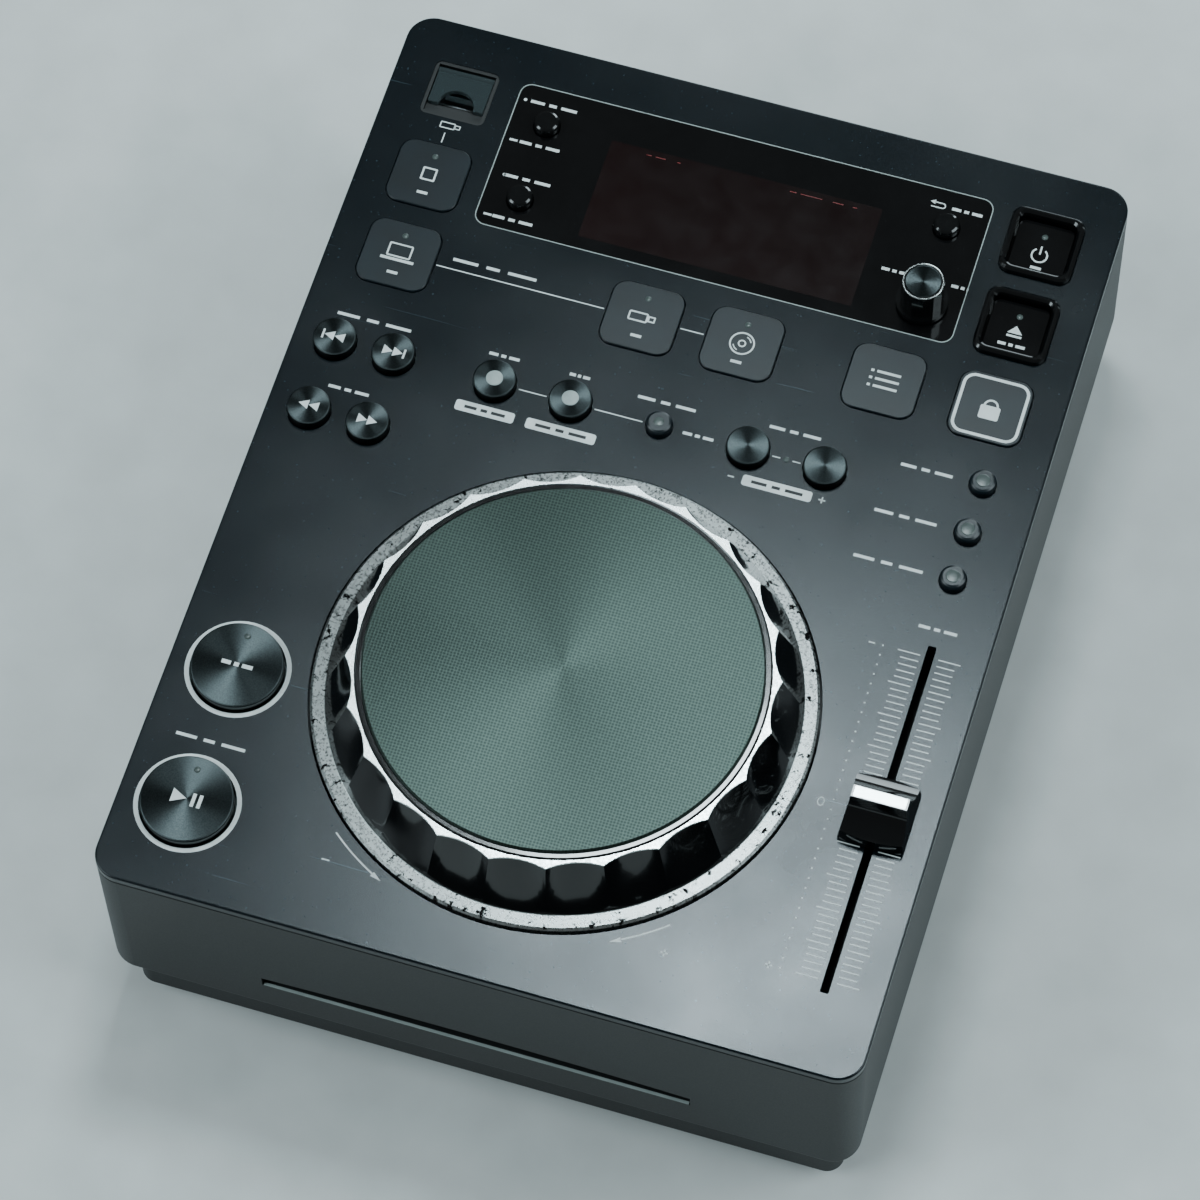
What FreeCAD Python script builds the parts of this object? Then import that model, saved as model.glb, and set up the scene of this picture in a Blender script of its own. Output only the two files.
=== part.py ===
import FreeCAD, Part
import math
import os
import Sketcher

# A tabletop disc player for mixing music, taken apart into the pieces it is made of.
# The origin is on the floor, at the middle of the whole player.
# X runs to the right, Y to the rear and Z up, all in millimetres.
# Places on the deck are counted from the middle of the panel.

SIZES = {
    # deck panel
    "panel_width": 218.0,
    "panel_depth": 288.5,
    "panel_corner": 8.0,
    "panel_skin": 2.5,
    "panel_top": 87.5,
    "panel_edge": 0.6,
    # side walls
    "wall_height": 62.0,
    "shell_wall": 2.5,
    "ledge_width": 14.0,
    "ledge_skin": 2.5,
    "seam_inset": 0.8,
    "seam_height": 0.7,
    "shell_round": 2.0,
    # bottom pan and feet
    "plinth_inset": 5.0,
    "plinth_corner": 5.0,
    "base_sheet": 1.5,
    "foot_height": 5.5,
    "foot_radius": 10.0,
    "foot_bevel": 1.0,
    "foot_inset": 22.0,
    "vent_length": 46.0,
    "vent_width": 3.0,
    "vent_pitch": 8.0,
    "vent_y": -30.0,
    # fits
    "fixed_gap": 0.1,
    "running_gap": 0.05,
    "moving_gap": 0.3,
    "rest_gap": 0.1,
    # screws
    "screw_radius": 1.5,
    "screw_play": 0.15,
    "screw_head_radius": 2.8,
    "screw_head_height": 1.8,
    "screw_length": 7.4,
    "boss_radius": 3.0,
    "case_boss_radius": 4.0,
    "case_screw_x": 94.0,
    "case_screw_y": 100.0,
    # board and switches under the deck
    "board_drop": 12.0,
    "board_sheet": 1.6,
    "board_inset": 5.0,
    "board_front": 2.0,
    "board_rear_inset": 8.0,
    "board_strip": 30.0,
    "board_jog_radius": 83.0,
    "switch_side": 6.0,
    "switch_body": 3.5,
    "switch_height": 5.0,
    "plunger_radius": 1.7,
    "outer_boss_x": 102.0,
    "rear_boss_y": 136.0,
    "middle_boss_y": 57.0,
    "left_middle_boss_x": -50.0,
    "right_middle_boss_x": 36.0,
    "jog_boss_x": 69.0,
    "jog_boss_y": 12.0,
    "strip_boss_x": -97.0,
    "strip_boss_y": -96.0,
    "strip_front_boss_y": -136.0,
    # push buttons
    "large_radius": 13.0,
    "large_rise": 3.0,
    "large_gap": 0.5,
    "small_radius": 6.2,
    "small_rise": 3.0,
    "mini_radius": 3.8,
    "mini_rise": 2.8,
    "mini_edge": 0.9,
    "cap_gap": 0.3,
    "cap_edge": 0.5,
    "cap_wall": 1.5,
    "flange_lip": 1.2,
    "flange_skin": 1.0,
    "stem_radius": 1.6,
    "large_travel": 0.8,
    "small_travel": 0.5,
    "press_margin": 0.1,
    "square_side": 21.3,
    "square_corner": 4.3,
    "square_rise": 0.6,
    "well_cap_width": 16.6,
    "well_cap_depth": 17.0,
    "well_cap_corner": 2.0,
    "well_cap_drop": 1.0,
    # where the controls are on the deck
    "transport_x": -89.3,
    "cue_y": -74.7,
    "play_y": -117.2,
    "search_left_x": -96.5,
    "search_right_x": -79.0,
    "loop_row_y": 31.9,
    "search_row_y": 8.65,
    "loop_in_x": -48.7,
    "loop_out_x": -26.2,
    "beat_minus_x": 26.2,
    "beat_plus_x": 48.7,
    "mode_x": 92.5,
    "vinyl_y": 39.9,
    "range_y": 23.9,
    "master_y": 8.5,
    "left_keys_x": -87.9,
    "right_keys_x": 88.1,
    "source_row_y": 64.0,
    "stop_row_y": 91.8,
    "power_y": 119.3,
    "usb_source_x": -14.8,
    "disc_source_x": 14.9,
    "playlist_x": 56.8,
    "window_keys_x": 60.2,
    "window_rear_row_y": 117.7,
    "window_front_row_y": 91.7,
    # raised frames of the two wells
    "frame_width": 21.4,
    "frame_depth": 21.8,
    "frame_corner": 3.6,
    "frame_wall": 1.9,
    "frame_rise": 2.4,
    "frame_bevel": 0.7,
    "frame_tail": 2.0,
    "frame_flange": 1.3,
    # display window and display
    "window_x": 0.2,
    "window_y": 105.5,
    "window_width": 143.0,
    "window_depth": 49.5,
    "window_corner": 3.6,
    "window_sink": 0.15,
    "window_flange": 1.6,
    "window_flange_skin": 1.0,
    "display_width": 92.0,
    "display_depth": 40.0,
    "display_glass_width": 81.6,
    "display_glass_depth": 33.5,
    "display_glass_y": 101.8,
    "display_glass_height": 1.4,
    # socket for a memory stick
    "usb_y": 121.2,
    "usb_width": 19.4,
    "usb_depth": 18.2,
    "usb_corner": 2.0,
    "usb_rim": 1.0,
    "usb_sink": 0.2,
    "usb_floor_drop": 7.0,
    "usb_floor_skin": 1.5,
    "usb_ledge": 3.5,
    "usb_ledge_drop": 2.0,
    "flap_skin": 1.6,
    "flap_axis_drop": 1.3,
    "flap_axis_back": 1.5,
    "flap_knuckle": 1.1,
    "flap_notch_radius": 5.4,
    "trunnion_radius": 0.8,
    "plug_width": 12.5,
    "plug_height": 5.1,
    "plug_depth": 13.0,
    "plug_shell": 0.35,
    "tongue_width": 11.0,
    "tongue_skin": 1.8,
    # push and turn selector
    "selector_body": 12.0,
    "selector_body_height": 6.5,
    "selector_bush_radius": 4.4,
    "selector_bush_drop": 4.2,
    "plunger_pin_radius": 3.0,
    "plunger_pin_rise": 9.0,
    "knob_base_radius": 7.5,
    "knob_base_height": 1.6,
    "knob_radius": 6.8,
    "knob_top_radius": 6.3,
    "knob_rise": 12.2,
    "knob_lift": 0.7,
    "knob_flat_cut": 0.35,
    "knob_hole_radius": 4.0,
    # tempo fader
    "fader_x": 92.7,
    "fader_y": -66.9,
    "fader_slot_width": 2.5,
    "fader_slot_length": 108.2,
    "fader_can_width": 14.0,
    "fader_can_length": 132.0,
    "fader_can_height": 12.5,
    "fader_can_wall": 1.0,
    "lever_width": 1.6,
    "lever_length": 5.0,
    "lever_rise": 8.0,
    "carriage_length": 14.0,
    "carriage_height": 4.0,
    "cap_width": 18.7,
    "cap_straight": 18.6,
    "cap_bulge": 1.0,
    "cap_height": 12.7,
    "cap_lift": 0.7,
    "cap_taper": 7.0,
    "saddle_radius": 9.75,
    "saddle_offset": 11.4,
    "saddle_height": 14.2,
    # jog wheel
    "jog_y": -57.2,
    "rim_radius": 70.25,
    "rim_gap": 0.75,
    "rim_rise": 1.6,
    "rim_edge_drop": 0.7,
    "rim_tail": 3.0,
    "facet_foot_radius": 66.2,
    "facet_foot_rise": 2.0,
    "facet_tip_radius": 59.8,
    "facet_rise": 18.5,
    "facet_hollow": 1.5,
    "facet_turn": -2.2,
    "ring_bore_radius": 57.2,
    "ring_skirt_radius": 63.2,
    "ring_seat": 13.0,
    "dial_rise": 18.9,
    "dial_skin": 3.0,
    "dial_recess": 17.2,
    "dial_underside": 14.2,
    "hub_radius": 10.0,
    "plate_radius": 55.3,
    "plate_gap": 0.25,
    "plate_rise": 19.7,
    "plate_skin": 1.6,
    "plate_edge": 0.5,
    "plate_travel": 0.4,
    "plate_foot_inner": 49.0,
    "plate_foot_outer": 52.0,
    "plate_pin_radius": 3.0,
    "plate_pin_length": 4.0,
    "shaft_radius": 4.0,
    "shaft_tail": 17.0,
    "encoder_radius": 22.0,
    "encoder_skin": 1.0,
    "encoder_drop": 15.0,
    "mount_drop": 8.5,
    "mount_skin": 2.0,
    "mount_radius": 75.6,
    "mount_wall": 2.6,
    "mount_boss_radius": 9.0,
    "mount_boss_top": 4.1,
    "mount_boss_bottom": 13.5,
    "lug_radius": 4.0,
    "lug_circle": 79.0,
    # rear sockets
    "jack_reach": 7.7,
    "phono_radius": 4.15,
    "phono_collar": 5.0,
    "collar_rise": 0.5,
    "phono_bore": 1.7,
    "phono_body": 12.0,
    "phono_pitch": 15.0,
    "phono_x": 52.0,
    "jack_body_depth": 11.0,
    "remote_x": 28.0,
    "remote_radius": 3.0,
    "remote_reach": 1.5,
    "remote_bore": 1.8,
    "square_port_x": 8.0,
    "square_port_width": 12.0,
    "square_port_height": 10.9,
    "square_port_wall": 0.5,
    "square_port_core": 5.6,
    "square_port_core_height": 3.2,
    "port_gap": 0.3,
    "inlet_x": -72.0,
    "inlet_z": 46.0,
    "inlet_flange_width": 31.0,
    "inlet_flange_height": 24.0,
    "inlet_flange_skin": 2.0,
    "inlet_body_width": 27.2,
    "inlet_body_height": 19.8,
    "inlet_body_depth": 20.0,
    "inlet_cavity_width": 24.2,
    "inlet_cavity_height": 16.6,
    "inlet_cavity_depth": 16.0,
    "pin_width": 2.0,
    "pin_height": 4.0,
    "pin_length": 13.0,
    "pin_spread": 7.0,
    "earth_lift": 3.6,
    "line_drop": 3.0,
    # boards in the pan
    "main_board_z": 32.0,
    "main_board_left": -22.0,
    "main_board_right": 92.0,
    "deep_board_front": 42.0,
    "deep_board_rear": 129.0,
    "supply_board_z": 17.0,
    "supply_board_left": -86.0,
    "supply_board_right": -30.0,
    "post_radius": 3.0,
    "post_inset": 6.0,
    "chip_side": 28.0,
    "chip_height": 3.4,
    "coil_width": 42.0,
    "coil_depth": 34.0,
    "coil_height": 28.0,
    "reservoir_radius": 9.0,
    "reservoir_pitch": 34.0,
    "reservoir_height": 30.0,
    "heat_sink_height": 24.0,
    "heat_sink_skin": 3.0,
    # disc drive
    "disc_bottom": 40.2,
    "slot_width": 124.2,
    "slot_height": 4.5,
    "slot_arch": 1.9,
    "bezel_skin": 1.5,
    "bezel_width": 136.0,
    "bezel_height": 13.0,
    "drive_width": 152.0,
    "drive_front": -138.6,
    "drive_rear": 32.0,
    "drive_sheet": 1.2,
    "drive_floor": 29.0,
    "drive_top": 62.0,
    "drive_roof_front": -24.0,
    "drive_opening_width": 84.0,
    "drive_opening_front": -98.0,
    "drive_opening_rear": 10.0,
    "leg_radius": 5.0,
    "leg_inset": 12.0,
    "roller_y": -129.0,
    "roller_radius": 4.0,
    "roller_half": 59.0,
    "axle_radius": 1.5,
    "spindle_y": -70.0,
    "clamp_pivot_y": 20.0,
    "clamp_pivot_z": 54.0,
    "clamp_lug_gap": 15.0,
    "clamp_arm_width": 24.0,
    "clamp_arm_skin": 1.6,
    "clamp_puck_radius": 14.0,
    "clamp_clear": 5.2,
    "traverse_width": 76.0,
    "traverse_front": -94.0,
    "traverse_pivot_y": 16.0,
    "traverse_lift": 0.4,
    "traverse_skin": 1.6,
    "motor_radius": 13.0,
    "motor_height": 6.0,
    "motor_shaft_radius": 1.0,
    "turntable_radius": 16.0,
    "turntable_seat": 36.9,
    "turntable_skin": 1.5,
    "cone_radius": 7.4,
    "cone_top_radius": 5.8,
    "cone_height": 2.0,
    "rod_radius": 1.5,
    "rod_x": 20.0,
    "rod_z": 35.4,
    "rod_block_width": 5.0,
    "rod_block_length": 4.0,
    "rod_front": -62.0,
    "rod_rear": 5.0,
    "sled_y": -45.0,
    "sled_length": 15.0,
    "sled_height": 5.0,
    "sled_side": 4.0,
    "lens_radius": 3.0,
    "lens_height": 1.0,
    "feed_x": 30.0,
    "feed_radius": 1.6,
}

FACETS = 24
KNOB_FACETS = 12
VENTS = 7


class Size:
    """A length that carries its value and the formula that gives it in the sheet."""

    def __init__(self, value, formula):
        self.value = value
        self.formula = formula

    def joined(self, sign, other, value):
        return Size(value, "(" + self.formula + " " + sign + " " + as_size(other).formula + ")")

    def __add__(self, other):
        return self.joined("+", other, self.value + as_size(other).value)

    def __sub__(self, other):
        return self.joined("-", other, self.value - as_size(other).value)

    def __mul__(self, other):
        return self.joined("*", other, self.value * as_size(other).value)

    def __truediv__(self, other):
        return self.joined("/", other, self.value / as_size(other).value)

    def __neg__(self):
        return Size(-self.value, "(0 - " + self.formula + ")")


def as_size(number):
    """Give a plain number the same form as a size from the sheet."""
    if isinstance(number, Size):
        return number
    return Size(float(number), repr(float(number)))


class Sheet:
    """The sizes by name, each one a cell of the spreadsheet."""

    def __init__(self, cells):
        for row, (alias, number) in enumerate(SIZES.items(), start=1):
            cells.set("A" + str(row), alias.replace("_", " "))
            cells.set("B" + str(row), str(number))
            cells.setAlias("B" + str(row), alias)
            setattr(self, alias, Size(number, "Sizes." + alias))


doc = FreeCAD.newDocument("DiscPlayer")
cells = doc.addObject("Spreadsheet::Sheet", "Sizes")
s = Sheet(cells)
doc.recompute()
kept = []
ZERO = as_size(0)

# heights and planes that several pieces share
PANEL_Y = s.jack_reach / -2
UNDERSIDE = s.panel_top - s.panel_skin
SHELL_BOTTOM = s.panel_top - s.wall_height
BOARD_TOP = s.panel_top - s.board_drop
PAN_FLOOR = s.foot_height + s.base_sheet
FRONT_FACE = PANEL_Y - s.panel_depth / 2
REAR_FACE = PANEL_Y + s.panel_depth / 2
INNER_FRONT = FRONT_FACE + s.shell_wall
INNER_REAR = REAR_FACE - s.shell_wall
WINDOW_SEAT = s.panel_skin + s.window_flange_skin
FRAME_SEAT = s.panel_skin + s.frame_tail
RELOOP_X = (s.loop_out_x + s.beat_minus_x) / 2


# helpers


def bind(thing, field, size):
    """Tie one property of an object to its formula."""
    thing.setExpression(field, as_size(size).formula)


def place(thing, x=ZERO, y=ZERO, z=ZERO):
    """Tie the position of an object."""
    bind(thing, "Placement.Base.x", x)
    bind(thing, "Placement.Base.y", y)
    bind(thing, "Placement.Base.z", z)
    return thing


def keep(thing, label):
    """Name a finished sub-part and list it for export."""
    thing.Label = label
    kept.append(thing)
    return thing


def block(x_low, y_low, z_low, width, depth, height):
    """A box from its low corner."""
    box = doc.addObject("Part::Box", "Block")
    bind(box, "Length", width)
    bind(box, "Width", depth)
    bind(box, "Height", height)
    return place(box, x_low, y_low, z_low)


def middle_block(x, y, z_low, width, depth, height):
    """A box centred on x and y."""
    return block(x - width / 2, y - depth / 2, z_low, width, depth, height)


def rod(x, y, z, radius, length, axis="Z"):
    """A round bar that starts at a point and runs along an axis."""
    bar = doc.addObject("Part::Cylinder", "Rod")
    bind(bar, "Radius", radius)
    bind(bar, "Height", length)
    if axis == "X":
        bar.Placement.Rotation = FreeCAD.Rotation(FreeCAD.Vector(0, 1, 0), 90)
    if axis == "Y":
        bar.Placement.Rotation = FreeCAD.Rotation(FreeCAD.Vector(1, 0, 0), -90)
    return place(bar, x, y, z)


def fuse(pieces):
    """Join pieces to one solid."""
    joined = doc.addObject("Part::MultiFuse", "Fuse")
    joined.Shapes = pieces
    return joined


def cut(base, tools):
    """Take tools away from a piece."""
    less = doc.addObject("Part::Cut", "Cut")
    less.Base = base
    less.Tool = fuse(tools) if len(tools) > 1 else tools[0]
    return less


def group(pieces):
    """Hold separate solids as one sub-part."""
    together = doc.addObject("Part::Compound", "Group")
    together.Links = pieces
    return together


def plane_of(body, role):
    """One of a body's own origin planes."""
    return next(item for item in body.Origin.OriginFeatures if item.Role == role)


def new_body(name):
    return doc.addObject("PartDesign::Body", name)


def new_sketch(body, role="XY_Plane", height=None):
    """A sketch on an origin plane of a body, or raised above it."""
    sketch = body.newObject("Sketcher::SketchObject", "Sketch")
    sketch.AttachmentSupport = [(plane_of(body, role), "")]
    sketch.MapMode = "FlatFace"
    if height is not None:
        sketch.setExpression("AttachmentOffset.Base.z", height.formula)
    return sketch


def fix_point(sketch, item, end, x, y):
    """Hold a point of a sketch at x and y from the sketch's origin."""
    for kind, axis, size in (("DistanceX", -2, as_size(x)), ("DistanceY", -1, as_size(y))):
        if size.formula == ZERO.formula:
            sketch.addConstraint(Sketcher.Constraint("PointOnObject", item, end, axis))
        else:
            index = sketch.addConstraint(Sketcher.Constraint(kind, -1, 1, item, end, size.value))
            sketch.setExpression("Constraints[" + str(index) + "]", size.formula)


def fix_radius(sketch, item, radius):
    index = sketch.addConstraint(Sketcher.Constraint("Radius", item, radius.value))
    sketch.setExpression("Constraints[" + str(index) + "]", radius.formula)


def draw_circle(sketch, radius, x=ZERO, y=ZERO):
    """A circle with its centre and radius tied."""
    centre = FreeCAD.Vector(x.value, y.value, 0)
    item = sketch.addGeometry(Part.Circle(centre, FreeCAD.Vector(0, 0, 1), radius.value))
    fix_point(sketch, item, 3, x, y)
    fix_radius(sketch, item, radius)


def draw_outline(sketch, points):
    """A closed outline of straight lines through points."""
    corners = [(as_size(x), as_size(y)) for x, y in points]
    vectors = [FreeCAD.Vector(x.value, y.value, 0) for x, y in corners]
    first = sketch.GeometryCount
    count = len(points)
    for index, start in enumerate(vectors):
        sketch.addGeometry(Part.LineSegment(start, vectors[(index + 1) % count]))
    for index, (x, y) in enumerate(corners):
        before = first + (index - 1) % count
        sketch.addConstraint(Sketcher.Constraint("Coincident", before, 2, first + index, 1))
        fix_point(sketch, first + index, 1, x, y)


def draw_rounded(sketch, width, depth, radius, x=ZERO, y=ZERO):
    """A rounded rectangle centred on x and y."""
    first = sketch.GeometryCount
    across = width / 2 - radius
    along = depth / 2 - radius
    turns = ((1, 1, 0), (-1, 1, 90), (-1, -1, 180), (1, -1, 270))
    centres = [(x + across * side, y + along * end) for side, end, _ in turns]
    arcs = []
    for (cx, cy), (_, _, angle) in zip(centres, turns):
        circle = Part.Circle(FreeCAD.Vector(cx.value, cy.value, 0), FreeCAD.Vector(0, 0, 1), radius.value)
        arcs.append(Part.ArcOfCircle(circle, math.radians(angle), math.radians(angle + 90)))
    for arc in arcs:
        sketch.addGeometry(arc)
    for index, arc in enumerate(arcs):
        following = arcs[(index + 1) % len(arcs)]
        sketch.addGeometry(Part.LineSegment(arc.EndPoint, following.StartPoint))
    for index, (cx, cy) in enumerate(centres):
        arc = first + index
        line = first + len(arcs) + index
        following = first + (index + 1) % len(arcs)
        sketch.addConstraint(Sketcher.Constraint("Tangent", arc, 2, line, 1))
        sketch.addConstraint(Sketcher.Constraint("Tangent", line, 2, following, 1))
        fix_point(sketch, arc, 3, cx, cy)
        fix_radius(sketch, arc, radius)


def pad(body, sketch, length, downwards=False):
    """Raise a sketch to a solid of a given length."""
    feature = body.newObject("PartDesign::Pad", "Pad")
    feature.Profile = sketch
    feature.Reversed = downwards
    bind(feature, "Length", length)
    sketch.Visibility = False
    return feature


def pocket(body, sketch, length=None, upwards=True):
    """Sink a sketch into the body, to a depth or all the way through."""
    feature = body.newObject("PartDesign::Pocket", "Pocket")
    feature.Profile = sketch
    feature.Reversed = upwards
    if length is None:
        feature.Type = "ThroughAll"
    else:
        bind(feature, "Length", length)
    return feature


def check_less(body, before):
    """Make sure that the last cut took something away."""
    doc.recompute()
    if body.Shape.Volume >= before:
        raise ValueError(body.Name + ": a cut took nothing away")
    return body.Shape.Volume


def turned(label, profile, x, y, z):
    """A turned piece: a profile of radius and height points, spun about its own axis."""
    body = new_body(label)
    sketch = new_sketch(body, "XZ_Plane")
    draw_outline(sketch, profile)
    spin = body.newObject("PartDesign::Revolution", "Spin")
    spin.Profile = sketch
    spin.ReferenceAxis = (sketch, ["V_Axis"])
    spin.Angle = 360
    return place(body, x, y, z)


def prism(width, depth, radius, x, y, z_low, height):
    """An upright block with rounded corners."""
    body = new_body("Prism")
    sketch = new_sketch(body)
    draw_rounded(sketch, width, depth, radius)
    pad(body, sketch, height)
    return place(body, x, y, z_low)


def outer_edges(shape, level, reach_x, reach_y, tolerance=0.01):
    """Names of the edges that lie at one height and go round outside a given reach."""
    names = []
    for index, edge in enumerate(shape.Edges, start=1):
        box = edge.BoundBox
        level_edge = abs(box.ZMin - level) < tolerance and abs(box.ZMax - level) < tolerance
        outside = max(abs(box.XMin), abs(box.XMax)) > reach_x or max(abs(box.YMin), abs(box.YMax)) > reach_y
        if level_edge and outside:
            names.append("Edge" + str(index))
    return names


def soften(body, kind, field, size, level, reach_x=0.0, reach_y=0.0):
    """Round or bevel the edges at one height of the body."""
    base = body.Tip
    edges = outer_edges(base.Shape, level, reach_x, reach_y)
    feature = body.newObject("PartDesign::" + kind, kind)
    feature.Base = (base, edges)
    bind(feature, field, size)
    return feature


# where each button is, what cap it has and what it sits in


ROUND_BUTTONS = (
    ("cue_button", s.transport_x, s.cue_y, "large"),
    ("play_button", s.transport_x, s.play_y, "large"),
    ("track_back", s.search_left_x, s.loop_row_y, "small"),
    ("track_next", s.search_right_x, s.loop_row_y, "small"),
    ("search_back", s.search_left_x, s.search_row_y, "small"),
    ("search_forward", s.search_right_x, s.search_row_y, "small"),
    ("loop_in", s.loop_in_x, s.loop_row_y, "small"),
    ("loop_out", s.loop_out_x, s.loop_row_y, "small"),
    ("beat_minus", s.beat_minus_x, s.loop_row_y, "small"),
    ("beat_plus", s.beat_plus_x, s.loop_row_y, "small"),
    ("reloop", RELOOP_X, s.loop_row_y, "mini"),
    ("vinyl_mode", s.mode_x, s.vinyl_y, "mini"),
    ("tempo_range", s.mode_x, s.range_y, "mini"),
    ("master_tempo", s.mode_x, s.master_y, "mini"),
    ("time_mode", -s.window_keys_x, s.window_rear_row_y, "window"),
    ("display_mode", -s.window_keys_x, s.window_front_row_y, "window"),
    ("back_button", s.window_keys_x, s.window_rear_row_y, "window"),
)

SQUARE_BUTTONS = (
    ("usb_stop", s.left_keys_x, s.stop_row_y),
    ("source_pc", s.left_keys_x, s.source_row_y),
    ("source_usb", s.usb_source_x, s.source_row_y),
    ("source_disc", s.disc_source_x, s.source_row_y),
    ("playlist", s.playlist_x, s.source_row_y),
    ("bpm_lock", s.right_keys_x, s.source_row_y),
)

WELL_BUTTONS = (
    ("power_button", s.right_keys_x, s.power_y),
    ("disc_eject", s.right_keys_x, s.stop_row_y),
)

CAPS = {
    "large": (s.large_radius, s.large_rise, s.cap_edge, s.large_travel, s.large_gap),
    "small": (s.small_radius, s.small_rise, s.cap_edge, s.small_travel, s.cap_gap),
    "mini": (s.mini_radius, s.mini_rise, s.mini_edge, s.small_travel, s.cap_gap),
    "window": (s.mini_radius, s.mini_rise, s.mini_edge, s.small_travel, s.cap_gap),
}

BOARD_BOSSES = (
    (-s.outer_boss_x, s.rear_boss_y),
    (s.outer_boss_x, s.rear_boss_y),
    (s.left_middle_boss_x, s.middle_boss_y),
    (s.right_middle_boss_x, s.middle_boss_y),
    (-s.jog_boss_x, s.jog_boss_y),
    (s.jog_boss_x, s.jog_boss_y),
    (s.strip_boss_x, s.strip_boss_y),
    (s.strip_boss_x, s.strip_front_boss_y),
)

CASE_SCREWS = tuple((s.case_screw_x * side, s.case_screw_y * end) for side in (-1, 1) for end in (-1, 0, 1))
LUG_SHIFT = s.lug_circle * math.sqrt(0.5)
JOG_LUGS = tuple((LUG_SHIFT * side, s.jog_y + LUG_SHIFT * end) for side in (-1, 1) for end in (-1, 1))


def switch_gap_z(travel):
    """Height of a stem's foot over the deck: it clears its switch by the travel and a margin."""
    return s.switch_height - s.board_drop + travel + s.press_margin


# deck panel


def rim_reach():
    """How far out an edge must reach to belong to the outline of the case."""
    near = s.fixed_gap.value
    return s.panel_width.value / 2 - near, s.panel_depth.value / 2 - near


def make_top_panel():
    body = new_body("top_panel")
    outline = new_sketch(body)
    draw_rounded(outline, s.panel_width, s.panel_depth, s.panel_corner)
    pad(body, outline, s.panel_skin)
    doc.recompute()
    volume = body.Shape.Volume

    round_holes = new_sketch(body)
    for _, x, y, kind in ROUND_BUTTONS:
        if kind != "window":
            draw_circle(round_holes, CAPS[kind][0] + CAPS[kind][4], x, y)
    draw_circle(round_holes, s.rim_radius + s.rim_gap, ZERO, s.jog_y)
    pocket(body, round_holes)
    volume = check_less(body, volume)

    square_holes = new_sketch(body)
    side = s.square_side + s.cap_gap * 2
    for _, x, y in SQUARE_BUTTONS:
        draw_rounded(square_holes, side, side, s.square_corner + s.cap_gap, x, y)
    pocket(body, square_holes)
    volume = check_less(body, volume)

    fitted_holes = new_sketch(body)
    play = s.fixed_gap * 2
    for _, x, y in WELL_BUTTONS:
        draw_rounded(fitted_holes, s.frame_width + play, s.frame_depth + play, s.frame_corner + s.fixed_gap, x, y)
    draw_rounded(fitted_holes, s.usb_width + play, s.usb_depth + play, s.usb_corner + s.fixed_gap,
                 s.left_keys_x, s.usb_y)
    draw_rounded(fitted_holes, s.window_width + play, s.window_depth + play, s.window_corner + s.fixed_gap,
                 s.window_x, s.window_y)
    draw_rounded(fitted_holes, s.fader_slot_width, s.fader_slot_length, s.fader_slot_width / 5, s.fader_x, s.fader_y)
    pocket(body, fitted_holes)
    volume = check_less(body, volume)

    bosses = new_sketch(body)
    for x, y in BOARD_BOSSES:
        draw_circle(bosses, s.boss_radius, x, y)
    pad(body, bosses, s.board_drop - s.panel_skin, downwards=True)
    lugs = new_sketch(body)
    for x, y in JOG_LUGS:
        draw_circle(lugs, s.lug_radius, x, y)
    pad(body, lugs, s.mount_drop - s.mount_skin - s.panel_skin, downwards=True)
    doc.recompute()
    volume = body.Shape.Volume

    pilots = new_sketch(body, height=s.panel_skin - s.board_drop)
    for x, y in BOARD_BOSSES:
        draw_circle(pilots, s.screw_radius + s.fixed_gap, x, y)
    pocket(body, pilots, s.screw_length - s.board_sheet + s.rest_gap)
    volume = check_less(body, volume)
    lug_pilots = new_sketch(body, height=s.panel_skin - s.mount_drop + s.mount_skin)
    for x, y in JOG_LUGS:
        draw_circle(lug_pilots, s.screw_radius + s.fixed_gap, x, y)
    pocket(body, lug_pilots, s.mount_drop - s.mount_skin - s.panel_edge)
    check_less(body, volume)

    soften(body, "Fillet", "Radius", s.panel_edge, s.panel_skin.value, *rim_reach())
    place(body, ZERO, PANEL_Y, UNDERSIDE)
    keep(body, "top_panel")


# side walls


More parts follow.
